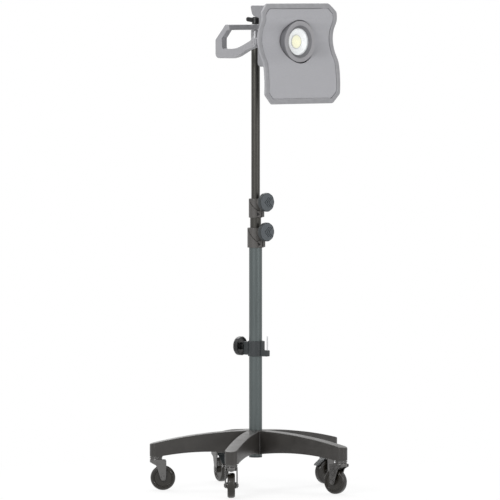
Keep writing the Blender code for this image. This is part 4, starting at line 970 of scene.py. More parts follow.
def fit_collar(prefix, gripped, sliding, wall, height):
    node = f"{prefix}_collar"
    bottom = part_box(node)[0].z
    top = bottom + height
    knob_level = joints[f"{prefix}_knob_turn"]["pos_m"][2]
    grip = radius_of(gripped) + GAP
    slide = radius_of(sliding) + GAP
    outer = grip + wall
    step = bottom + COLLAR_GRIP + GAP
    profile = [
        (outer, top, COLLAR_CHAMFER), (outer, bottom, 0.0006), (grip, bottom), (grip, step, 0),
        (slide, step, 0), (slide, top, 0.0006),
    ]
    ring = lathe("ring", profile, stand, 0.0005, 72, 3)
    front = outer + EAR_REACH
    ear_top = bottom + EAR_FOOT + EAR_HEIGHT
    tilt = stand @ shift(z=ear_top + SEAM_RISE) @ spin(SEAM_SLOPE, "X")
    seam = slab("seam", circle(SEAM_REACH, 48), -SEAM_WIDTH / 2, SEAM_WIDTH / 2, tilt, 0.0001, 1)
    cut(seam, lathe("core", plug(outer - SEAM_DEPTH, 0, 1), stand, 0, 72))

    def slot():
        low = (-EAR_SLOT / 2, -front - 0.002, bottom - 0.002)
        high = (EAR_SLOT / 2, 0.002 - grip, ear_top + EAR_FOOT)
        return block("slot", low, high, stand, 0.0001)

    cut(ring, seam, slot())
    inside = (outer + grip) / 2
    plan = [
        (-EAR_HALF_WIDTH, -front, 0.002), (EAR_HALF_WIDTH, -front, 0.002),
        (EAR_HALF_WIDTH, -inside, 0), (-EAR_HALF_WIDTH, -inside, 0),
    ]
    ears = slab("ears", rounded(plan, 0, 4), bottom + EAR_FOOT, ear_top, stand, 0.0008)
    bolt_level = bottom + EAR_FOOT + EAR_HEIGHT / 2
    bolt_place = stand @ shift(-EAR_HALF_WIDTH, -outer - PINCH_OFFSET, bolt_level)
    along = spin(math.pi / 2, "Y")
    pocket = plug(PINCH_POCKET, -0.002, 0.004)
    cut(ears, slot(), lathe("pocket", pocket, bolt_place @ along, 0, 24))
    reach = [(0, KNOB_BOSS_REACH), (KNOB_BOSS_RADIUS, KNOB_BOSS_REACH, 0.0008)]
    reach += [(KNOB_BOSS_RADIUS, inside, 0), (0, inside)]
    boss = lathe("boss", reach, stand @ shift(z=knob_level) @ FRONT, 0.0006, 48)
    web = [
        (inside, ear_top - EAR_FOOT), (front - EAR_FOOT, ear_top - EAR_FOOT),
        (KNOB_BOSS_REACH - EAR_FOOT, knob_level), (inside, knob_level),
    ]
    gusset = slab("gusset", web, -GUSSET_HALF, GUSSET_HALF, stand @ SIDE, 0.0006)
    fit(gathered(f"{node}_shape", ring, ears, boss, gusset), COLLAR, node)

    screw = [
        (0, 0.003), (0.0018, 0.003, 0), (0.002, 0.0018, 0.0002), (PINCH_HEAD, 0.0018, 0.0004),
        (PINCH_HEAD, 0.0036, 0), (PINCH_SHANK, 0.0036, 0),
        (PINCH_SHANK, 2 * EAR_HALF_WIDTH, 0.0003), (0, 2 * EAR_HALF_WIDTH),
    ]
    # The pinch bolts take the near-black: blackened bolts, darkened further as painted shade in their pockets.
    fit_turned(f"{prefix}_pinch_bolt", SHADOW_BLACK, screw, bolt_place @ along, 0.0002, 24)


fit_collar("lower", "lower_tube", "mid_tube", 0.0047, 0.0595)
fit_collar("upper", "mid_tube", "upper_tube", 0.0037, 0.057)

KNOB_RADIUS = 0.0285
KNOB_THICKNESS = 0.0155
KNOB_FLUTES = 9
KNOB_FLUTE_DEPTH = 0.0007
KNOB_FLUTE_START = 0.02
KNOB_STEM_RADIUS = 0.004
KNOB_FACE_RADIUS = 0.0264
KNOB_FACE_DEPTH = 0.0032
CHEVRON_HALF = 0.015
CHEVRON_DROP = 0.0145
CHEVRON_WIDTH = 0.0027
CHEVRON_DEPTH = 0.0029
CHEVRON_PITCH = 0.008


def fluted(radius, height, angle):
    """A grip's radius with shallow finger hollows, deepest at its rim."""
    part = max(0.0, (radius - KNOB_FLUTE_START) / (KNOB_RADIUS - KNOB_FLUTE_START))
    return radius - KNOB_FLUTE_DEPTH * part * (0.5 - 0.5 * math.cos(KNOB_FLUTES * angle)) ** 2


def fit_lock_knob(prefix, sliding):
    """Round grip with finger hollows, a recessed face and chevron ribs on it."""
    node = f"{prefix}_lock_knob"
    level = joints[f"{prefix}_knob_turn"]["pos_m"][2]
    tip = KNOB_BOSS_REACH - radius_of(sliding) - 2 * GAP - SHOE_LENGTH
    face = KNOB_THICKNESS
    floor = face - KNOB_FACE_DEPTH
    profile = [
        (0, floor), (KNOB_FACE_RADIUS + 0.0002, floor, 0),
        (KNOB_FACE_RADIUS + 0.0003, face - 0.0004, 0.0003),
        (KNOB_RADIUS - 0.0004, face - 0.0008, 0.0008), (KNOB_RADIUS, face - 0.0035, 0.002),
        (KNOB_RADIUS, 0.0035, 0.002), (0.0245, 0, 0.001), (0.015, 0, 0.0005),
        (0.0145, 0.001, 0.0005), (0.009, 0.001, 0.0005), (0.0085, 0, 0.0004),
        (KNOB_STEM_RADIUS, 0, 0), (KNOB_STEM_RADIUS, -tip, 0.0004), (0, -tip),
    ]
    place = stand @ shift(0, -KNOB_BOSS_REACH - GAP, level) @ FRONT
    fit_turned(node, BLACK, profile, place, 0.0005, 108, 3, fluted)
    disc = [(0, face), (KNOB_FACE_RADIUS, face, 0.0005), (KNOB_FACE_RADIUS, floor, 0), (0, floor)]
    disc = lathe("disc", disc, place, 0.0003, 96)
    end, drop = CHEVRON_HALF, -CHEVRON_DROP
    outline = [(-end, drop), (0, 0.0005), (end, drop), (end, drop + CHEVRON_WIDTH)]
    outline += [(0, 0.0005 + CHEVRON_WIDTH), (-end, drop + CHEVRON_WIDTH)]
    groove = slab("groove", outline, -CHEVRON_DEPTH, 0.001, None, 0.0002, 1)
    left = place @ shift(-0.001, 0, face) @ spin(math.pi / 2)
    first = left @ shift(0, -0.0085, 0)
    grooves = repeated(groove, ROW, SLATE, first, Count=3, Step=(0, CHEVRON_PITCH, 0))
    add(cut(disc, grooves), SLATE, node).name = f"{prefix}_knob_face"


fit_lock_knob("lower", "mid_tube")
fit_lock_knob("upper", "upper_tube")

# Cable hook clamp
HOOK_TURN = math.radians(13)
HOOK_HEIGHT = 0.046
HOOK_RING_WALL = 0.003
LUG_REACH = 0.039
LUG_HALF_WIDTH = 0.009
HOOK_ARM_HEIGHT = 0.0185
HOOK_ARM_REACH = 0.047
HOOK_ARM_HALF_WIDTH = 0.007
HOOK_WALL_REACH = 0.029
HOOK_PIN_REACH = 0.0428
HOOK_PIN_RADIUS = 0.002
HOOK_PIN_SUNK = 0.011
HOOK_PIN_SHOWING = 0.0425
HOOK_KNOB_THICKNESS = 0.016
HOOK_KNOB_STANDOFF = 0.0095
HOOK_KNOB_LEVEL = 0.0285


def fit_hook():
    place = stand @ shift(z=HOOK_BOTTOM) @ spin(HOOK_TURN)
    bore = radius_of("lower_tube") + GAP
    outer = bore + HOOK_RING_WALL
    within = (bore + outer) / 2
    profile = [(outer, HOOK_HEIGHT, 0.001), (outer, 0, 0.001), (bore, 0), (bore, HOOK_HEIGHT)]
    ring = lathe("ring", profile, place, 0.0004, 72)
    low = (-LUG_HALF_WIDTH, within, 0.003)
    high = (LUG_HALF_WIDTH, LUG_REACH, HOOK_HEIGHT - 0.003)
    lug = block("lug", low, high, place, 0.0015, 0.003)
    outline = [
        (within, 0, 0), (HOOK_ARM_REACH, 0, 0.003), (HOOK_ARM_REACH, HOOK_ARM_HEIGHT, 0.002),
        (HOOK_WALL_REACH, HOOK_ARM_HEIGHT, 0.0015), (HOOK_WALL_REACH, HOOK_HEIGHT, 0.002),
        (within, HOOK_HEIGHT, 0),
    ]
    half = HOOK_ARM_HALF_WIDTH
    hook = slab("hook", rounded(outline, 0, 4), -half, half, place @ SIDE, 0.001)
    fit(gathered("hook_clamp_shape", ring, lug, hook), BLACK, "hook_clamp")

    foot = HOOK_ARM_HEIGHT - HOOK_PIN_SUNK + GAP
    top = HOOK_ARM_HEIGHT + HOOK_PIN_SHOWING
    pin = [(0, top), (HOOK_PIN_RADIUS, top, 0.0008), (HOOK_PIN_RADIUS, foot, 0.0003), (0, foot)]
    fit_turned("hook_pin", BRIGHT, pin, place @ shift(0, -HOOK_PIN_REACH, 0), 0.0003, 32)

    face = HOOK_KNOB_THICKNESS
    neck = GAP - HOOK_KNOB_STANDOFF
    tip = neck - GAP - LUG_REACH + radius_of("lower_tube") + GAP
    knob = [
        (0, face - 0.0035), (0.008, face - 0.0033, 0.002), (0.0185, face - 0.0012, 0.003),
        (0.0225, face, 0.0012), (0.0258, face, 0.001), (KNOB_RADIUS, face - 0.0035, 0.002),
        (KNOB_RADIUS, 0, 0.001), (0.0255, 0, 0.0008), (0.025, 0.005, 0.0015),
        (0.0105, 0.005, 0.0015), (0.01, neck, 0.0006), (KNOB_STEM_RADIUS, neck, 0),
        (KNOB_STEM_RADIUS, tip, 0.0004), (0, tip),
    ]
    out = place @ shift(0, LUG_REACH + HOOK_KNOB_STANDOFF, HOOK_KNOB_LEVEL) @ BACK
    fit_turned("hook_knob", JET, knob, out, 0.0005, 108, 3, fluted)


fit_hook()

# Top adapter and wing knob
ADAPTER_RADIUS = 0.014
STUD_RADIUS = 0.0049
WING_SPAN = 0.057
WING_THICKNESS = 0.01
WING_HEIGHT = 0.017
WING_LIFT = 0.006
WING_HUB_RADIUS = 0.011
WING_TURN = math.radians(-43)
STUD_THREAD = 0.015
STUD_PITCH = 0.00125
STUD_HOLE = 0.0052
BAIL_BAR = 0.0165


def fit_mast_top():
    foot, stud_top = (corner.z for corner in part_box("top_adapter"))
    tube_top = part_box("upper_tube")[1].z
    bar_bottom = stud_top - STUD_THREAD - BAIL_BAR - GAP
    inner = radius_of("upper_tube") - TUBE_WALL - GAP
    thread = []
    level = stud_top - 0.0008
    while level > bar_bottom + STUD_PITCH:
        thread += [(STUD_RADIUS, level, 0), (STUD_RADIUS - 0.0006, level - STUD_PITCH / 2, 0)]
        level -= STUD_PITCH
    profile = [
        (0, stud_top), (STUD_RADIUS - 0.0009, stud_top, 0), *thread, (STUD_RADIUS, bar_bottom, 0),
        (ADAPTER_RADIUS, bar_bottom, 0.0012), (ADAPTER_RADIUS, tube_top + 0.005, 0.0004),
        (ADAPTER_RADIUS - 0.0009, tube_top + 0.0044, 0.0003),
        (ADAPTER_RADIUS - 0.0009, tube_top + 0.0032, 0.0003),
        (ADAPTER_RADIUS, tube_top + 0.0026, 0.0004), (ADAPTER_RADIUS, tube_top + GAP, 0.0006),
        (inner, tube_top + GAP, 0), (inner, foot, 0.0008), (0, foot),
    ]
    fit_turned("top_adapter", GREY_METAL, profile, stand)

    place = stand @ shift(z=BAR_TOP + GAP) @ spin(WING_TURN)
    top = STUD_THREAD + WING_LIFT
    hub = lathe(
        "hub",
        [
            (0, top + 0.0015), (WING_HUB_RADIUS - 0.002, top + 0.0015, 0.002),
            (WING_HUB_RADIUS, top - 0.004, 0.002), (WING_HUB_RADIUS, 0, 0.0008),
            (STUD_RADIUS + GAP, 0), (STUD_RADIUS + GAP, STUD_THREAD + GAP, 0),
            (0, STUD_THREAD + GAP),
        ],
        place,
        0.0005,
        56,
        3,
    )
    end = WING_SPAN / 2
    lobe = [
        (end, WING_LIFT + 0.003, 0.006), (end, WING_LIFT + WING_HEIGHT, 0.006),
        (0.009, WING_LIFT + WING_HEIGHT - 0.003, 0.006),
        (-0.009, WING_LIFT + WING_HEIGHT - 0.003, 0.006), (-end, WING_LIFT + WING_HEIGHT, 0.006),
        (-end, WING_LIFT + 0.003, 0.006), (-0.01, WING_LIFT, 0.004), (0.01, WING_LIFT, 0.004),
    ]
    half = WING_THICKNESS / 2
    wings = slab("wings", rounded(lobe, 0.004, 5), -half, half, place @ FRONT, 0.0025, 3)
    clear = plug(STUD_HOLE, -0.002, STUD_THREAD + GAP)
    cut(wings, lathe("clearance", clear, place, 0, 32))
    fit(gathered("wing_knob_shape", hub, wings), JET, "wing_knob")


fit_mast_top()

# Bail handle, in a frame at the top face of its bar
BAIL_HALF_WIDTH = 0.121
BAIL_ARM = 0.022
BAIL_BAND = 0.028
BAIL_EDGE = 0.0016
BAIL_BACK = 0.047
BAIL_SHOULDER = 0.0455
BAIL_DEPTH = 0.1005
BAIL_SWEEP_LOW = ((0.02, 0), (0.042, 0.0045), (0.064, 0.0135), (0.088, 0.0245))
BAIL_SWEEP_HIGH = ((0.105, 0.0255), (0.085, 0.017), (0.065, 0.009), (0.045, 0.003), (0.022, 0))
PIVOT_FORWARD = 0.118
PIVOT_DROP = 0.0525
EYE_RADIUS = 0.014
PIVOT_HEAD_RADIUS = 0.009
PIVOT_HEAD_HEIGHT = 0.0016
PIVOT_RADIUS = 0.004
PIVOT_HOLE = PIVOT_RADIUS + GAP
PIVOT_INNER_END = 0.0915


def bail_cheek(side, place):
    half = BAIL_BAND / 2
    low = -BAIL_DEPTH
    back = BAIL_BAND - BAIL_BACK
    inner_low = low + BAIL_BAND
    lower = smooth_through([(forward, low + rise) for forward, rise in BAIL_SWEEP_LOW], 5)
    upper = [(forward, inner_low + rise) for forward, rise in BAIL_SWEEP_HIGH]
    upper = smooth_through(upper, 5)
    outline = [
        (half, 0, 0.002), (-half / 4, 0, 0.004), (-BAIL_BACK, -BAIL_SHOULDER, 0.004),
        (-BAIL_BACK, low, half), *((*p, 0) for p in lower),
        *((*p, 0) for p in arc((PIVOT_FORWARD, -PIVOT_DROP), EYE_RADIUS, -68, 112, 22)),
        *((*p, 0) for p in upper), (back, inner_low, 0.007),
        (back, -BAIL_SHOULDER + BAIL_BAR / 4, 0.006), (half / 4, -BAIL_BAR, 0.003),
        (half, -BAIL_BAR, 0.002),
    ]
    across = side * (BAIL_HALF_WIDTH - BAIL_ARM / 2)
    half_arm = BAIL_ARM / 2
    where = place @ shift(across) @ SIDE
    hole = circle(PIVOT_HOLE, 24, (PIVOT_FORWARD, -PIVOT_DROP))
    return slab("cheek", rounded(outline, 0, 5), -half_arm, half_arm, where, BAIL_EDGE, 3, [hole])


def fit_bail():
    place = stand @ shift(z=BAR_TOP)
    half = BAIL_BAND / 2 - GAP
    inside = BAIL_HALF_WIDTH - BAIL_ARM / 2
    section = [(-half, GAP - BAIL_BAR), (half, GAP - BAIL_BAR), (half, -GAP), (-half, -GAP)]
    section = rounded(section, BAIL_EDGE, 3)
    bar = slab("bail_handle_shape", section, -inside, inside, place @ SIDE, 0.0001, 1)
    cut(bar, lathe("stud_hole", plug(STUD_HOLE, -0.03, 0.01), place, 0, 32))
    joined(bar, bail_cheek(-1, place), bail_cheek(1, place))
    fit(bar, BAIL_GREY, "bail_handle")
    for name, side in (("left", -1), ("right", 1)):
        where = place @ shift(0, -PIVOT_FORWARD, -PIVOT_DROP)
        where = where @ spin(side * math.pi / 2, "Y")
        seat = BAIL_HALF_WIDTH + GAP
        end = seat + PIVOT_HEAD_HEIGHT
        profile = [
            (0, end - 0.0012), (0.003, end - 0.0012, 0.0002), (0.0032, end, 0.0003),
            (PIVOT_HEAD_RADIUS - 0.0005, end, 0.0005), (PIVOT_HEAD_RADIUS, seat, 0.0001),
            (PIVOT_RADIUS, seat, 0), (PIVOT_RADIUS, PIVOT_INNER_END, 0.0003), (0, PIVOT_INNER_END),
        ]
        fit_turned(f"{name}_pivot_bolt", MID_GREY, profile, where, 0.0003, 48)


fit_bail()

# Light head, in a frame on the tilt axis. Distances forward run towards -Y
LIGHT_HALF_WIDTH = 0.1535
LIGHT_TOP = 0.116
LIGHT_BOTTOM = -0.1825
TOP_CHAMFER = 0.026
BOTTOM_CHAMFER = 0.028
RIM_WIDTH = 0.015
RIM_DEPTH = 0.006
PANEL_RECESS = 0.0015
PANEL_THICKNESS = 0.0045
PANEL_EDGE = 0.0009
PANEL_GROOVE = 0.0012
PANEL_GROOVE_DEPTH = 0.0025
FRONT_CURVE = (
    (-0.1825, 0.087), (-0.157, 0.089), (-0.115, 0.09), (-0.064, 0.084), (-0.027, 0.066),
    (0.004, 0.058), (0.034, 0.061), (0.065, 0.075), (0.095, 0.073), (0.116, 0.066),
)
LENS_HEIGHT = 0.002
BEZEL_RADIUS = 0.063
BEZEL_OPENING = 0.0645
BEZEL_FRONT = 0.0765
BEZEL_MOUTH = 0.048
LENS_RADIUS = 0.044
LENS_VISIBLE = 0.0395
LENS_FRONT = 0.0685
LENS_THICKNESS = 0.003
BEZEL_BACK = 0.037
BEZEL_SCREWS = 6
LED_RADIUS = 0.0205
LED_BASE_RADIUS = 0.028
LED_BACK = 0.0558
LED_BASE_FRONT = 0.0588
LED_FRONT = 0.0608
PANEL_ROWS = 22
PANEL_BACK_ROWS = 9
EDGE_LENGTH = 0.0045

front_line = smooth_through(FRONT_CURVE, 8)
light = shift(*TILT)


def front_at(height):
    """How far forward the rim's front is at a height."""
    for (low, near), (high, far) in zip(front_line, front_line[1:]):
        if low <= height <= high:
            return near + (far - near) * (height - low) / (high - low)
    return front_line[0][1] if height < 0 else front_line[-1][1]


def octagon(inset):
    half = LIGHT_HALF_WIDTH - inset
    top = LIGHT_TOP - inset
    bottom = LIGHT_BOTTOM + inset
    upper = TOP_CHAMFER - inset * (2 - math.sqrt(2))
    lower = BOTTOM_CHAMFER - inset * (2 - math.sqrt(2))
    return [
        (-half, bottom + lower), (-half + lower, bottom), (half - lower, bottom),
        (half, bottom + lower), (half, top - upper), (half - upper, top), (-half + upper, top),
        (-half, top - upper),
    ]


def light_path(inset, corner):
    """The light's outline drawn in by an inset. All paths have matching points."""
    steps = 4
    line = rounded(octagon(inset), corner, steps)
    longest = rounded(octagon(0), corner, steps)
    found = []
    for i, here in enumerate(line):
        after = line[(i + 1) % len(line)]
        reach = (longest[(i + 1) % len(line)] - longest[i]).length
        parts = max(1, round(reach / EDGE_LENGTH)) if i % (steps + 1) == steps else 1
        found += [here.lerp(after, part / parts) for part in range(parts)]
    return found


def light_point(shape, place, setback):
    """A point of the light's front, set back from the curve."""
    return shape.verts.new((place.x, setback - front_at(place.y), place.y))


def rim_shape():
    outer = light_path(0, 0.012)
    inner = light_path(RIM_WIDTH, 0.008)
    width, depth = RIM_WIDTH, RIM_DEPTH
    section = [(0, 0.0002, 0.0022), (0, depth, 0.0008), (width, depth, 0), (width, 0, 0.0014)]
    section = rounded(section, 0, 3)
    section.append(Vector((0.0045, 0)))
    shape = bmesh.new()
    rings = []
    for out, into in zip(outer, inner):
        ring = []
        for across, setback in section:
            ring.append(light_point(shape, out.lerp(into, across / width), setback))
        rings.append(ring)
    strips(shape, rings, closed_row=True)
    return as_piece("bumper_frame_shape", shape, light)


def panel_shape():
    """The curved face plate: columns that run from the bezel's opening to the rim."""
    outline = light_path(RIM_WIDTH + GAP, 0.008)
    centre = Vector((0, LENS_HEIGHT))
    edge = PANEL_EDGE
    back = PANEL_RECESS + PANEL_THICKNESS
    shape = bmesh.new()
    columns = []
    for far in outline:
        ray = far - centre
        reach = ray.length - BEZEL_OPENING
        ray.normalize()
        stops = [(0, PANEL_RECESS + edge), (edge * 0.3, PANEL_RECESS + edge * 0.3)]
        rim = reach - PANEL_GROOVE
        deep = PANEL_RECESS + PANEL_GROOVE_DEPTH
        span = rim - 2 * edge
        stops += [(edge + span * i / PANEL_ROWS, PANEL_RECESS) for i in range(PANEL_ROWS + 1)]
        stops += [(rim - edge * 0.3, PANEL_RECESS + edge * 0.3), (rim, PANEL_RECESS + edge)]
        stops += [(rim, deep), (reach, deep)]
        stops += [(reach * i / PANEL_BACK_ROWS, back) for i in range(PANEL_BACK_ROWS, -1, -1)]
        column = []
        for away, setback in stops:
            column.append(light_point(shape, centre + ray * (BEZEL_OPENING + away), setback))
        columns.append(column)
    strips(shape, columns, closed_row=True)
    return as_piece("front_panel_shape", shape, light)


def fit_face():
    fit(rim_shape(), RIM, "bumper_frame")
    fit(panel_shape(), LIGHT_GREY, "front_panel")
    optics = light @ shift(z=LENS_HEIGHT) @ FRONT
    pocket = LENS_RADIUS + GAP
    lip = LENS_FRONT + GAP
    ring = [
        (BEZEL_MOUTH, BEZEL_FRONT - 0.0006, 0.0004),
        (BEZEL_RADIUS - 0.0018, BEZEL_FRONT - 0.0006, 0.0004),
        (BEZEL_RADIUS, BEZEL_FRONT - 0.0028, 0.0012), (BEZEL_RADIUS, BEZEL_BACK, 0.0006),
        (pocket, BEZEL_BACK, 0), (pocket, lip, 0), (LENS_VISIBLE, lip, 0.0002),
        (LENS_VISIBLE + 0.0012, lip + 0.0008, 0.0004),
    ]
    # The bezel's side wall and mouth take the darker grey as painted shade; its face ring below gets the lighter
    # bezel grey.
    fit_turned("bezel", BEZEL_SHADE_GREY, ring, optics, 0.0004, 120)
    back = BEZEL_FRONT - 0.0006
    face = [
        (BEZEL_MOUTH + 0.0006, BEZEL_FRONT, 0.0003), (BEZEL_MOUTH + 0.0026, BEZEL_FRONT, 0.0001),
        (BEZEL_MOUTH + 0.0028, back + 0.0001, 0.0001),
        (BEZEL_MOUTH + 0.0036, back + 0.0001, 0.0001), (BEZEL_MOUTH + 0.0038, BEZEL_FRONT, 0.0001),
        (BEZEL_RADIUS - 0.0024, BEZEL_FRONT, 0.0003), (BEZEL_RADIUS - 0.0018, back, 0),
        (BEZEL_MOUTH + 0.0004, back, 0),
    ]
    add(lathe("bezel_face", face, optics, 0.0002, 120), MID_GREY, "bezel")
    screw = [
        (0, 0.0002), (0.0009, 0.0002, 0), (0.001, 0.0009, 0.0001), (0.0022, 0.0009, 0.0004),
        (0.0024, -0.0012, 0), (0, -0.0012),
    ]
    pattern = lathe("bezel_screws", screw, None, 0.0002, 16)
    middle_radius = (BEZEL_MOUTH + BEZEL_RADIUS) / 2
    place = optics @ shift(z=BEZEL_FRONT - 0.001)
    inputs = {"Count": BEZEL_SCREWS, "Radius": middle_radius, "Start": math.pi / BEZEL_SCREWS}
    add(repeated(pattern, RING, FORK, place, **inputs), FORK, "bezel")

    glass_back = LENS_FRONT - LENS_THICKNESS
    fit_turned("lens", GLASS, plug(LENS_RADIUS, glass_back, LENS_FRONT), optics, 0.0004, 96)
    mouth = glass_back - GAP
    foot = LED_BASE_FRONT + GAP
    throat = LED_RADIUS + GAP
    bowl = [
        (LENS_VISIBLE - 0.0015, mouth), (LENS_RADIUS, mouth), (LENS_RADIUS, mouth - 0.0015),
        (LENS_VISIBLE, mouth - 0.0015), (0.03, foot + 0.0006), (throat + 0.0015, foot),
        (throat, foot), (0.0285, foot + 0.0021),
    ]
    fit_turned("reflector", WHITE, bowl, optics, 0.0002, 96)
    base = [
        (0, LED_FRONT - 0.0016), (LED_RADIUS - 0.0015, LED_FRONT - 0.0016, 0),
        (LED_RADIUS - 0.0013, LED_FRONT, 0.0003), (LED_RADIUS, LED_FRONT, 0.0003),
        (LED_RADIUS, LED_BASE_FRONT, 0), (LED_BASE_RADIUS, LED_BASE_FRONT, 0.0004),
        (LED_BASE_RADIUS, LED_BACK, 0.0004), (0, LED_BACK),
    ]
    fit_turned("led_module", NYLON, base, optics, 0.0003, 72)
    film = [(0, LED_FRONT - 0.0003), (LED_RADIUS - 0.0018, LED_FRONT - 0.0006, 0.0003)]
    film += [(LED_RADIUS - 0.0018, LED_FRONT - 0.0016, 0), (0, LED_FRONT - 0.0016)]
    add(lathe("led_phosphor", film, optics, 0.0003, 48), YELLOW, "led_module")


fit_face()

# Rear housing, battery pack and button
HOUSING_HALF = 0.0985
HOUSING_WALL = 0.003
HOUSING_TOP = 0.11
HOUSING_BOTTOM = -0.072
HOUSING_BACK = -0.005
SADDLE_BACK = 0.001
SADDLE_TOP = 0.005
SADDLE_BOTTOM = -0.005
HEAD_BACK = -0.037
HEAD_BOTTOM = 0.0725
HEAD_SLANT = 0.007
HEAD_SLANT_BOTTOM = 0.085
CORNER = 0.008
HOUSING_SEAT = 0.0063
BAY_HALF = 0.066
BAY_BACK = 0.037
BAY_BOTTOM = -0.125
LUG_RADIUS = 0.013
LUG_LENGTH = 0.012
PACK_HALF = 0.0625
PACK_BACK = 0.0403
PACK_FRONT = 0.0703
PACK_TOP = -0.0725
PACK_BOTTOM = -0.163
PACK_GROOVES = 5
PACK_GROOVE_PITCH = 0.0052
BUTTON_ACROSS = 0.08
BUTTON_HEIGHT = -0.035
BUTTON_RADIUS = 0.008
BUTTON_DEPTH = 0.009
BUTTON_PROUD = 0.0025
BUTTON = shift(BUTTON_ACROSS, -HOUSING_BACK, BUTTON_HEIGHT) @ BACK
LEVEL_LIGHTS = 4
LEVEL_PITCH = 0.005
VENT_COUNT = 15
VENT_PITCH = 0.0095


def housing_outline(inset, seat, corner):
    """Side view of the housing as (forward, height) points."""
    top = HOUSING_TOP - inset
    bottom = HOUSING_BOTTOM + inset
    back = HOUSING_BACK + inset
    saddle = SADDLE_BACK + inset
    head = HEAD_BACK + inset
    head_low = HEAD_BOTTOM + inset
    slant_low = HEAD_SLANT_BOTTOM + inset
    heights = [height for height, _ in front_line if bottom < height < top]
    face = [(front_at(h) - seat, h, 0) for h in [bottom, *heights, top]]
    rear = [
        (head, top, corner / 2), (head + HEAD_SLANT, slant_low, corner / 2),
        (head + 2 * HEAD_SLANT, slant_low - HEAD_SLANT, corner), (saddle, head_low, corner / 3),
        (saddle, SADDLE_TOP, 0.004), (back, SADDLE_BOTTOM, 0.004), (back, bottom, corner),
    ]
    return rounded(face + rear, 0, 5)


def fit_housing():
    half = HOUSING_HALF
    outline = housing_outline(0, HOUSING_SEAT, CORNER * 1.4)
    housing = slab("rear_housing_shape", outline, -half, half, light @ SIDE, 0.0025, 3)
    inner = half - HOUSING_WALL
    cavity = housing_outline(HOUSING_WALL, -0.002, CORNER)
    vent = block("vent", (-0.0016, -0.012, -0.058), (0.0016, 0.012, -0.012), None, 0.0014, 0.0015)
    start = light @ shift(-VENT_PITCH * (VENT_COUNT - 1) / 2, -HOUSING_BACK, 0)
    # The vent cutters carry the near-black as painted shade for the slits' insides.
    vents = repeated(vent, ROW, SHADOW_BLACK, start, Count=VENT_COUNT, Step=(VENT_PITCH, 0, 0))
    button = plug(BUTTON_RADIUS + GAP, -BUTTON_DEPTH, 0.004)
    cut(
        housing, slab("cavity", cavity, -inner, inner, light @ SIDE, 0.0004, 1), vents,
        lathe("button_hole", button, light @ BUTTON, 0, 40),
    )
    low = (-BAY_HALF, -PACK_FRONT - GAP - HOUSING_WALL, BAY_BOTTOM)
    bay = block("bay", low, (BAY_HALF, -BAY_BACK, HOUSING_BOTTOM + 0.0015), light, 0.0015, 0.004, 3)
    low = (-PACK_HALF - GAP, -PACK_FRONT - GAP, PACK_BOTTOM)
    high = (PACK_HALF + GAP, -PACK_BACK + GAP, PACK_TOP + GAP)
    cut(bay, block("pocket", low, high, light, 0.0001, 0.003))
    lugs = []
    turn = spin(math.pi / 2, "Y")
    for side in (-1, 1):
        low, high = sorted((side * (half - 0.0005), side * (half - LUG_LENGTH)))
        profile = [(LUG_RADIUS, high), (LUG_RADIUS, low), (PIVOT_HOLE, low), (PIVOT_HOLE, high)]
        lugs.append(lathe("lug", profile, light @ turn, 0.0006, 48))
    fit(gathered("rear_housing_shape_all", housing, bay, *lugs), CASING, "rear_housing")

    screw = [
        (0, -0.0004), (0.0012, -0.0004, 0), (0.0013, 0.0005, 0.0001), (0.003, 0.0004, 0.0003),
        (0.003, -0.002, 0), (0, -0.002),
    ]
    pattern = lathe("housing_screws", screw, None, 0.0002, 20)
    across = half - LUG_LENGTH
    place = light @ shift(-across, -HOUSING_BACK - 0.0002, -0.064) @ BACK
    row = repeated(pattern, ROW, FORK, place, Count=2, Step=(2 * across, 0, 0))
    add(row, FORK, "rear_housing")
    dot = [(0, 0.0004), (0.0016, 0.0004, 0.0003), (0.0016, -0.001, 0), (0, -0.001)]
    pattern = lathe("level_lights", dot, None, 0.0002, 20)
    place = shift(BUTTON_ACROSS - 1.5 * LEVEL_PITCH, -HOUSING_BACK - 0.0002, BUTTON_HEIGHT - 0.016)
    step = (LEVEL_PITCH, 0, 0)
    row = repeated(pattern, ROW, NYLON, light @ place @ BACK, Count=LEVEL_LIGHTS, Step=step)
    add(row, NYLON, "rear_housing")


def fit_pack():
    body = block(
        "pack", (-PACK_HALF, -PACK_FRONT, PACK_BOTTOM + 0.002), (PACK_HALF, -PACK_BACK, PACK_TOP),
        light, 0.001, 0.003, 3,
    )
    low = (-BAY_HALF, -PACK_FRONT - HOUSING_WALL, PACK_BOTTOM)
    grip = block("grip", low, (BAY_HALF, -BAY_BACK, BAY_BOTTOM - 0.002), light, 0.0025, 0.005, 3)
    groove = block("groove", (-0.045, -0.0012, -0.001), (0.045, 0.0012, 0.001), None, 0.0005)
    place = light @ shift(0, -BAY_BACK, PACK_BOTTOM + 0.008)
    step = (0, 0, PACK_GROOVE_PITCH)
    grooves = repeated(groove, ROW, BLACK, place, Count=PACK_GROOVES, Step=step)
    cut(grip, grooves)
    fit(gathered("battery_pack_shape", body, grip), BLACK, "battery_pack")
    front = BUTTON_PROUD
    profile = [
        (0, front - 0.0008), (0.0045, front - 0.0007, 0.001),
        (BUTTON_RADIUS - 0.0012, front, 0.0006), (BUTTON_RADIUS, front - 0.001, 0.0006),
        (BUTTON_RADIUS, front - BUTTON_DEPTH, 0.0005), (0, front - BUTTON_DEPTH),
    ]
    fit_turned("power_button", BLACK, profile, light @ BUTTON, 0.0004, 48)


fit_housing()
fit_pack()

# Floor, background and lamps
FLOOR_RADIUS = 14.0
SHADOW_START = 0.35
SHADOW_RADIUS = 1.1
FLOOR_WHITE = 0.84
WORLD_LIGHT = 0.38
LAMP_AIM = 0.7


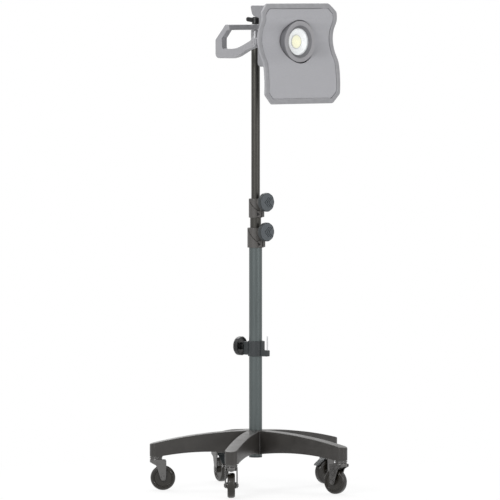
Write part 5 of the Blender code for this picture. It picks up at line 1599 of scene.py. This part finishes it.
def lay_floor():
    floor = slab("floor", circle(FLOOR_RADIUS, 96), -0.01, 0, None, 0.001, 1)
    look = Look("pale_floor", 0.9)
    speck = look.noise(3, 2)
    look.surface({"Base Color": look.mixed(speck, (0.8, 0.8, 0.8), (0.83, 0.83, 0.83))})
    path = look.node("ShaderNodeLightPath").outputs
    seen = Number(look, path["Is Camera Ray"]) + Number(look, path["Is Glossy Ray"])
    seen = seen + Number(look, path["Is Transmission Ray"])
    length = look.node("ShaderNodeVectorMath", {"operation": "LENGTH"}, {0: look.place})
    away = Number(look, length.outputs["Value"]).stretched(SHADOW_START, SHADOW_RADIUS)
    white = look.node("ShaderNodeEmission", {}, {"Color": (1, 1, 1), "Strength": 1.0})
    amount = seen.stretched(0, 1) * (FLOOR_WHITE + away * (1 - FLOOR_WHITE))
    values = {0: amount, 1: look.shader.outputs[0], 2: white.outputs[0]}
    mixed = look.node("ShaderNodeMixShader", {}, values)
    look.feed(look.tree.nodes["Material Output"].inputs["Surface"], mixed.outputs[0])
    floor.data.materials.append(look.material)


def light_scene():
    world = bpy.data.worlds.new("studio")
    world.use_nodes = True
    scene.world = world
    graph = Graph(world.node_tree)
    path = graph.node("ShaderNodeLightPath").outputs
    seen = Number(graph, path["Is Camera Ray"]) + Number(graph, path["Is Glossy Ray"])
    seen = (seen + Number(graph, path["Is Transmission Ray"])).stretched(0, 1)
    back = world.node_tree.nodes["Background"]
    graph.feed(back.inputs["Color"], (1, 1, 1))
    graph.feed(back.inputs["Strength"], WORLD_LIGHT + seen * (1 - WORLD_LIGHT))
    lamps = [
        ("key", (-4.0, -1.2, 2.6), 1.8, 110), ("fill", (0.6, -4.0, 1.8), 2.2, 40),
        ("top", (0.6, 1.0, 3.6), 2.4, 95), ("back", (1.2, 3.4, 2.6), 2.0, 30),
    ]
    for name, place, size, power in lamps:
        data = bpy.data.lights.new(f"{name}_lamp", "AREA")
        data.size = size
        data.energy = power
        lamp = in_scene(f"{name}_lamp", data)
        lamp.location = place
        aim = Vector((0, 0, LAMP_AIM)) - Vector(place)
        lamp.rotation_euler = aim.to_track_quat("-Z", "Y").to_euler()


lay_floor()
light_scene()
scene.view_settings.view_transform = "Standard"
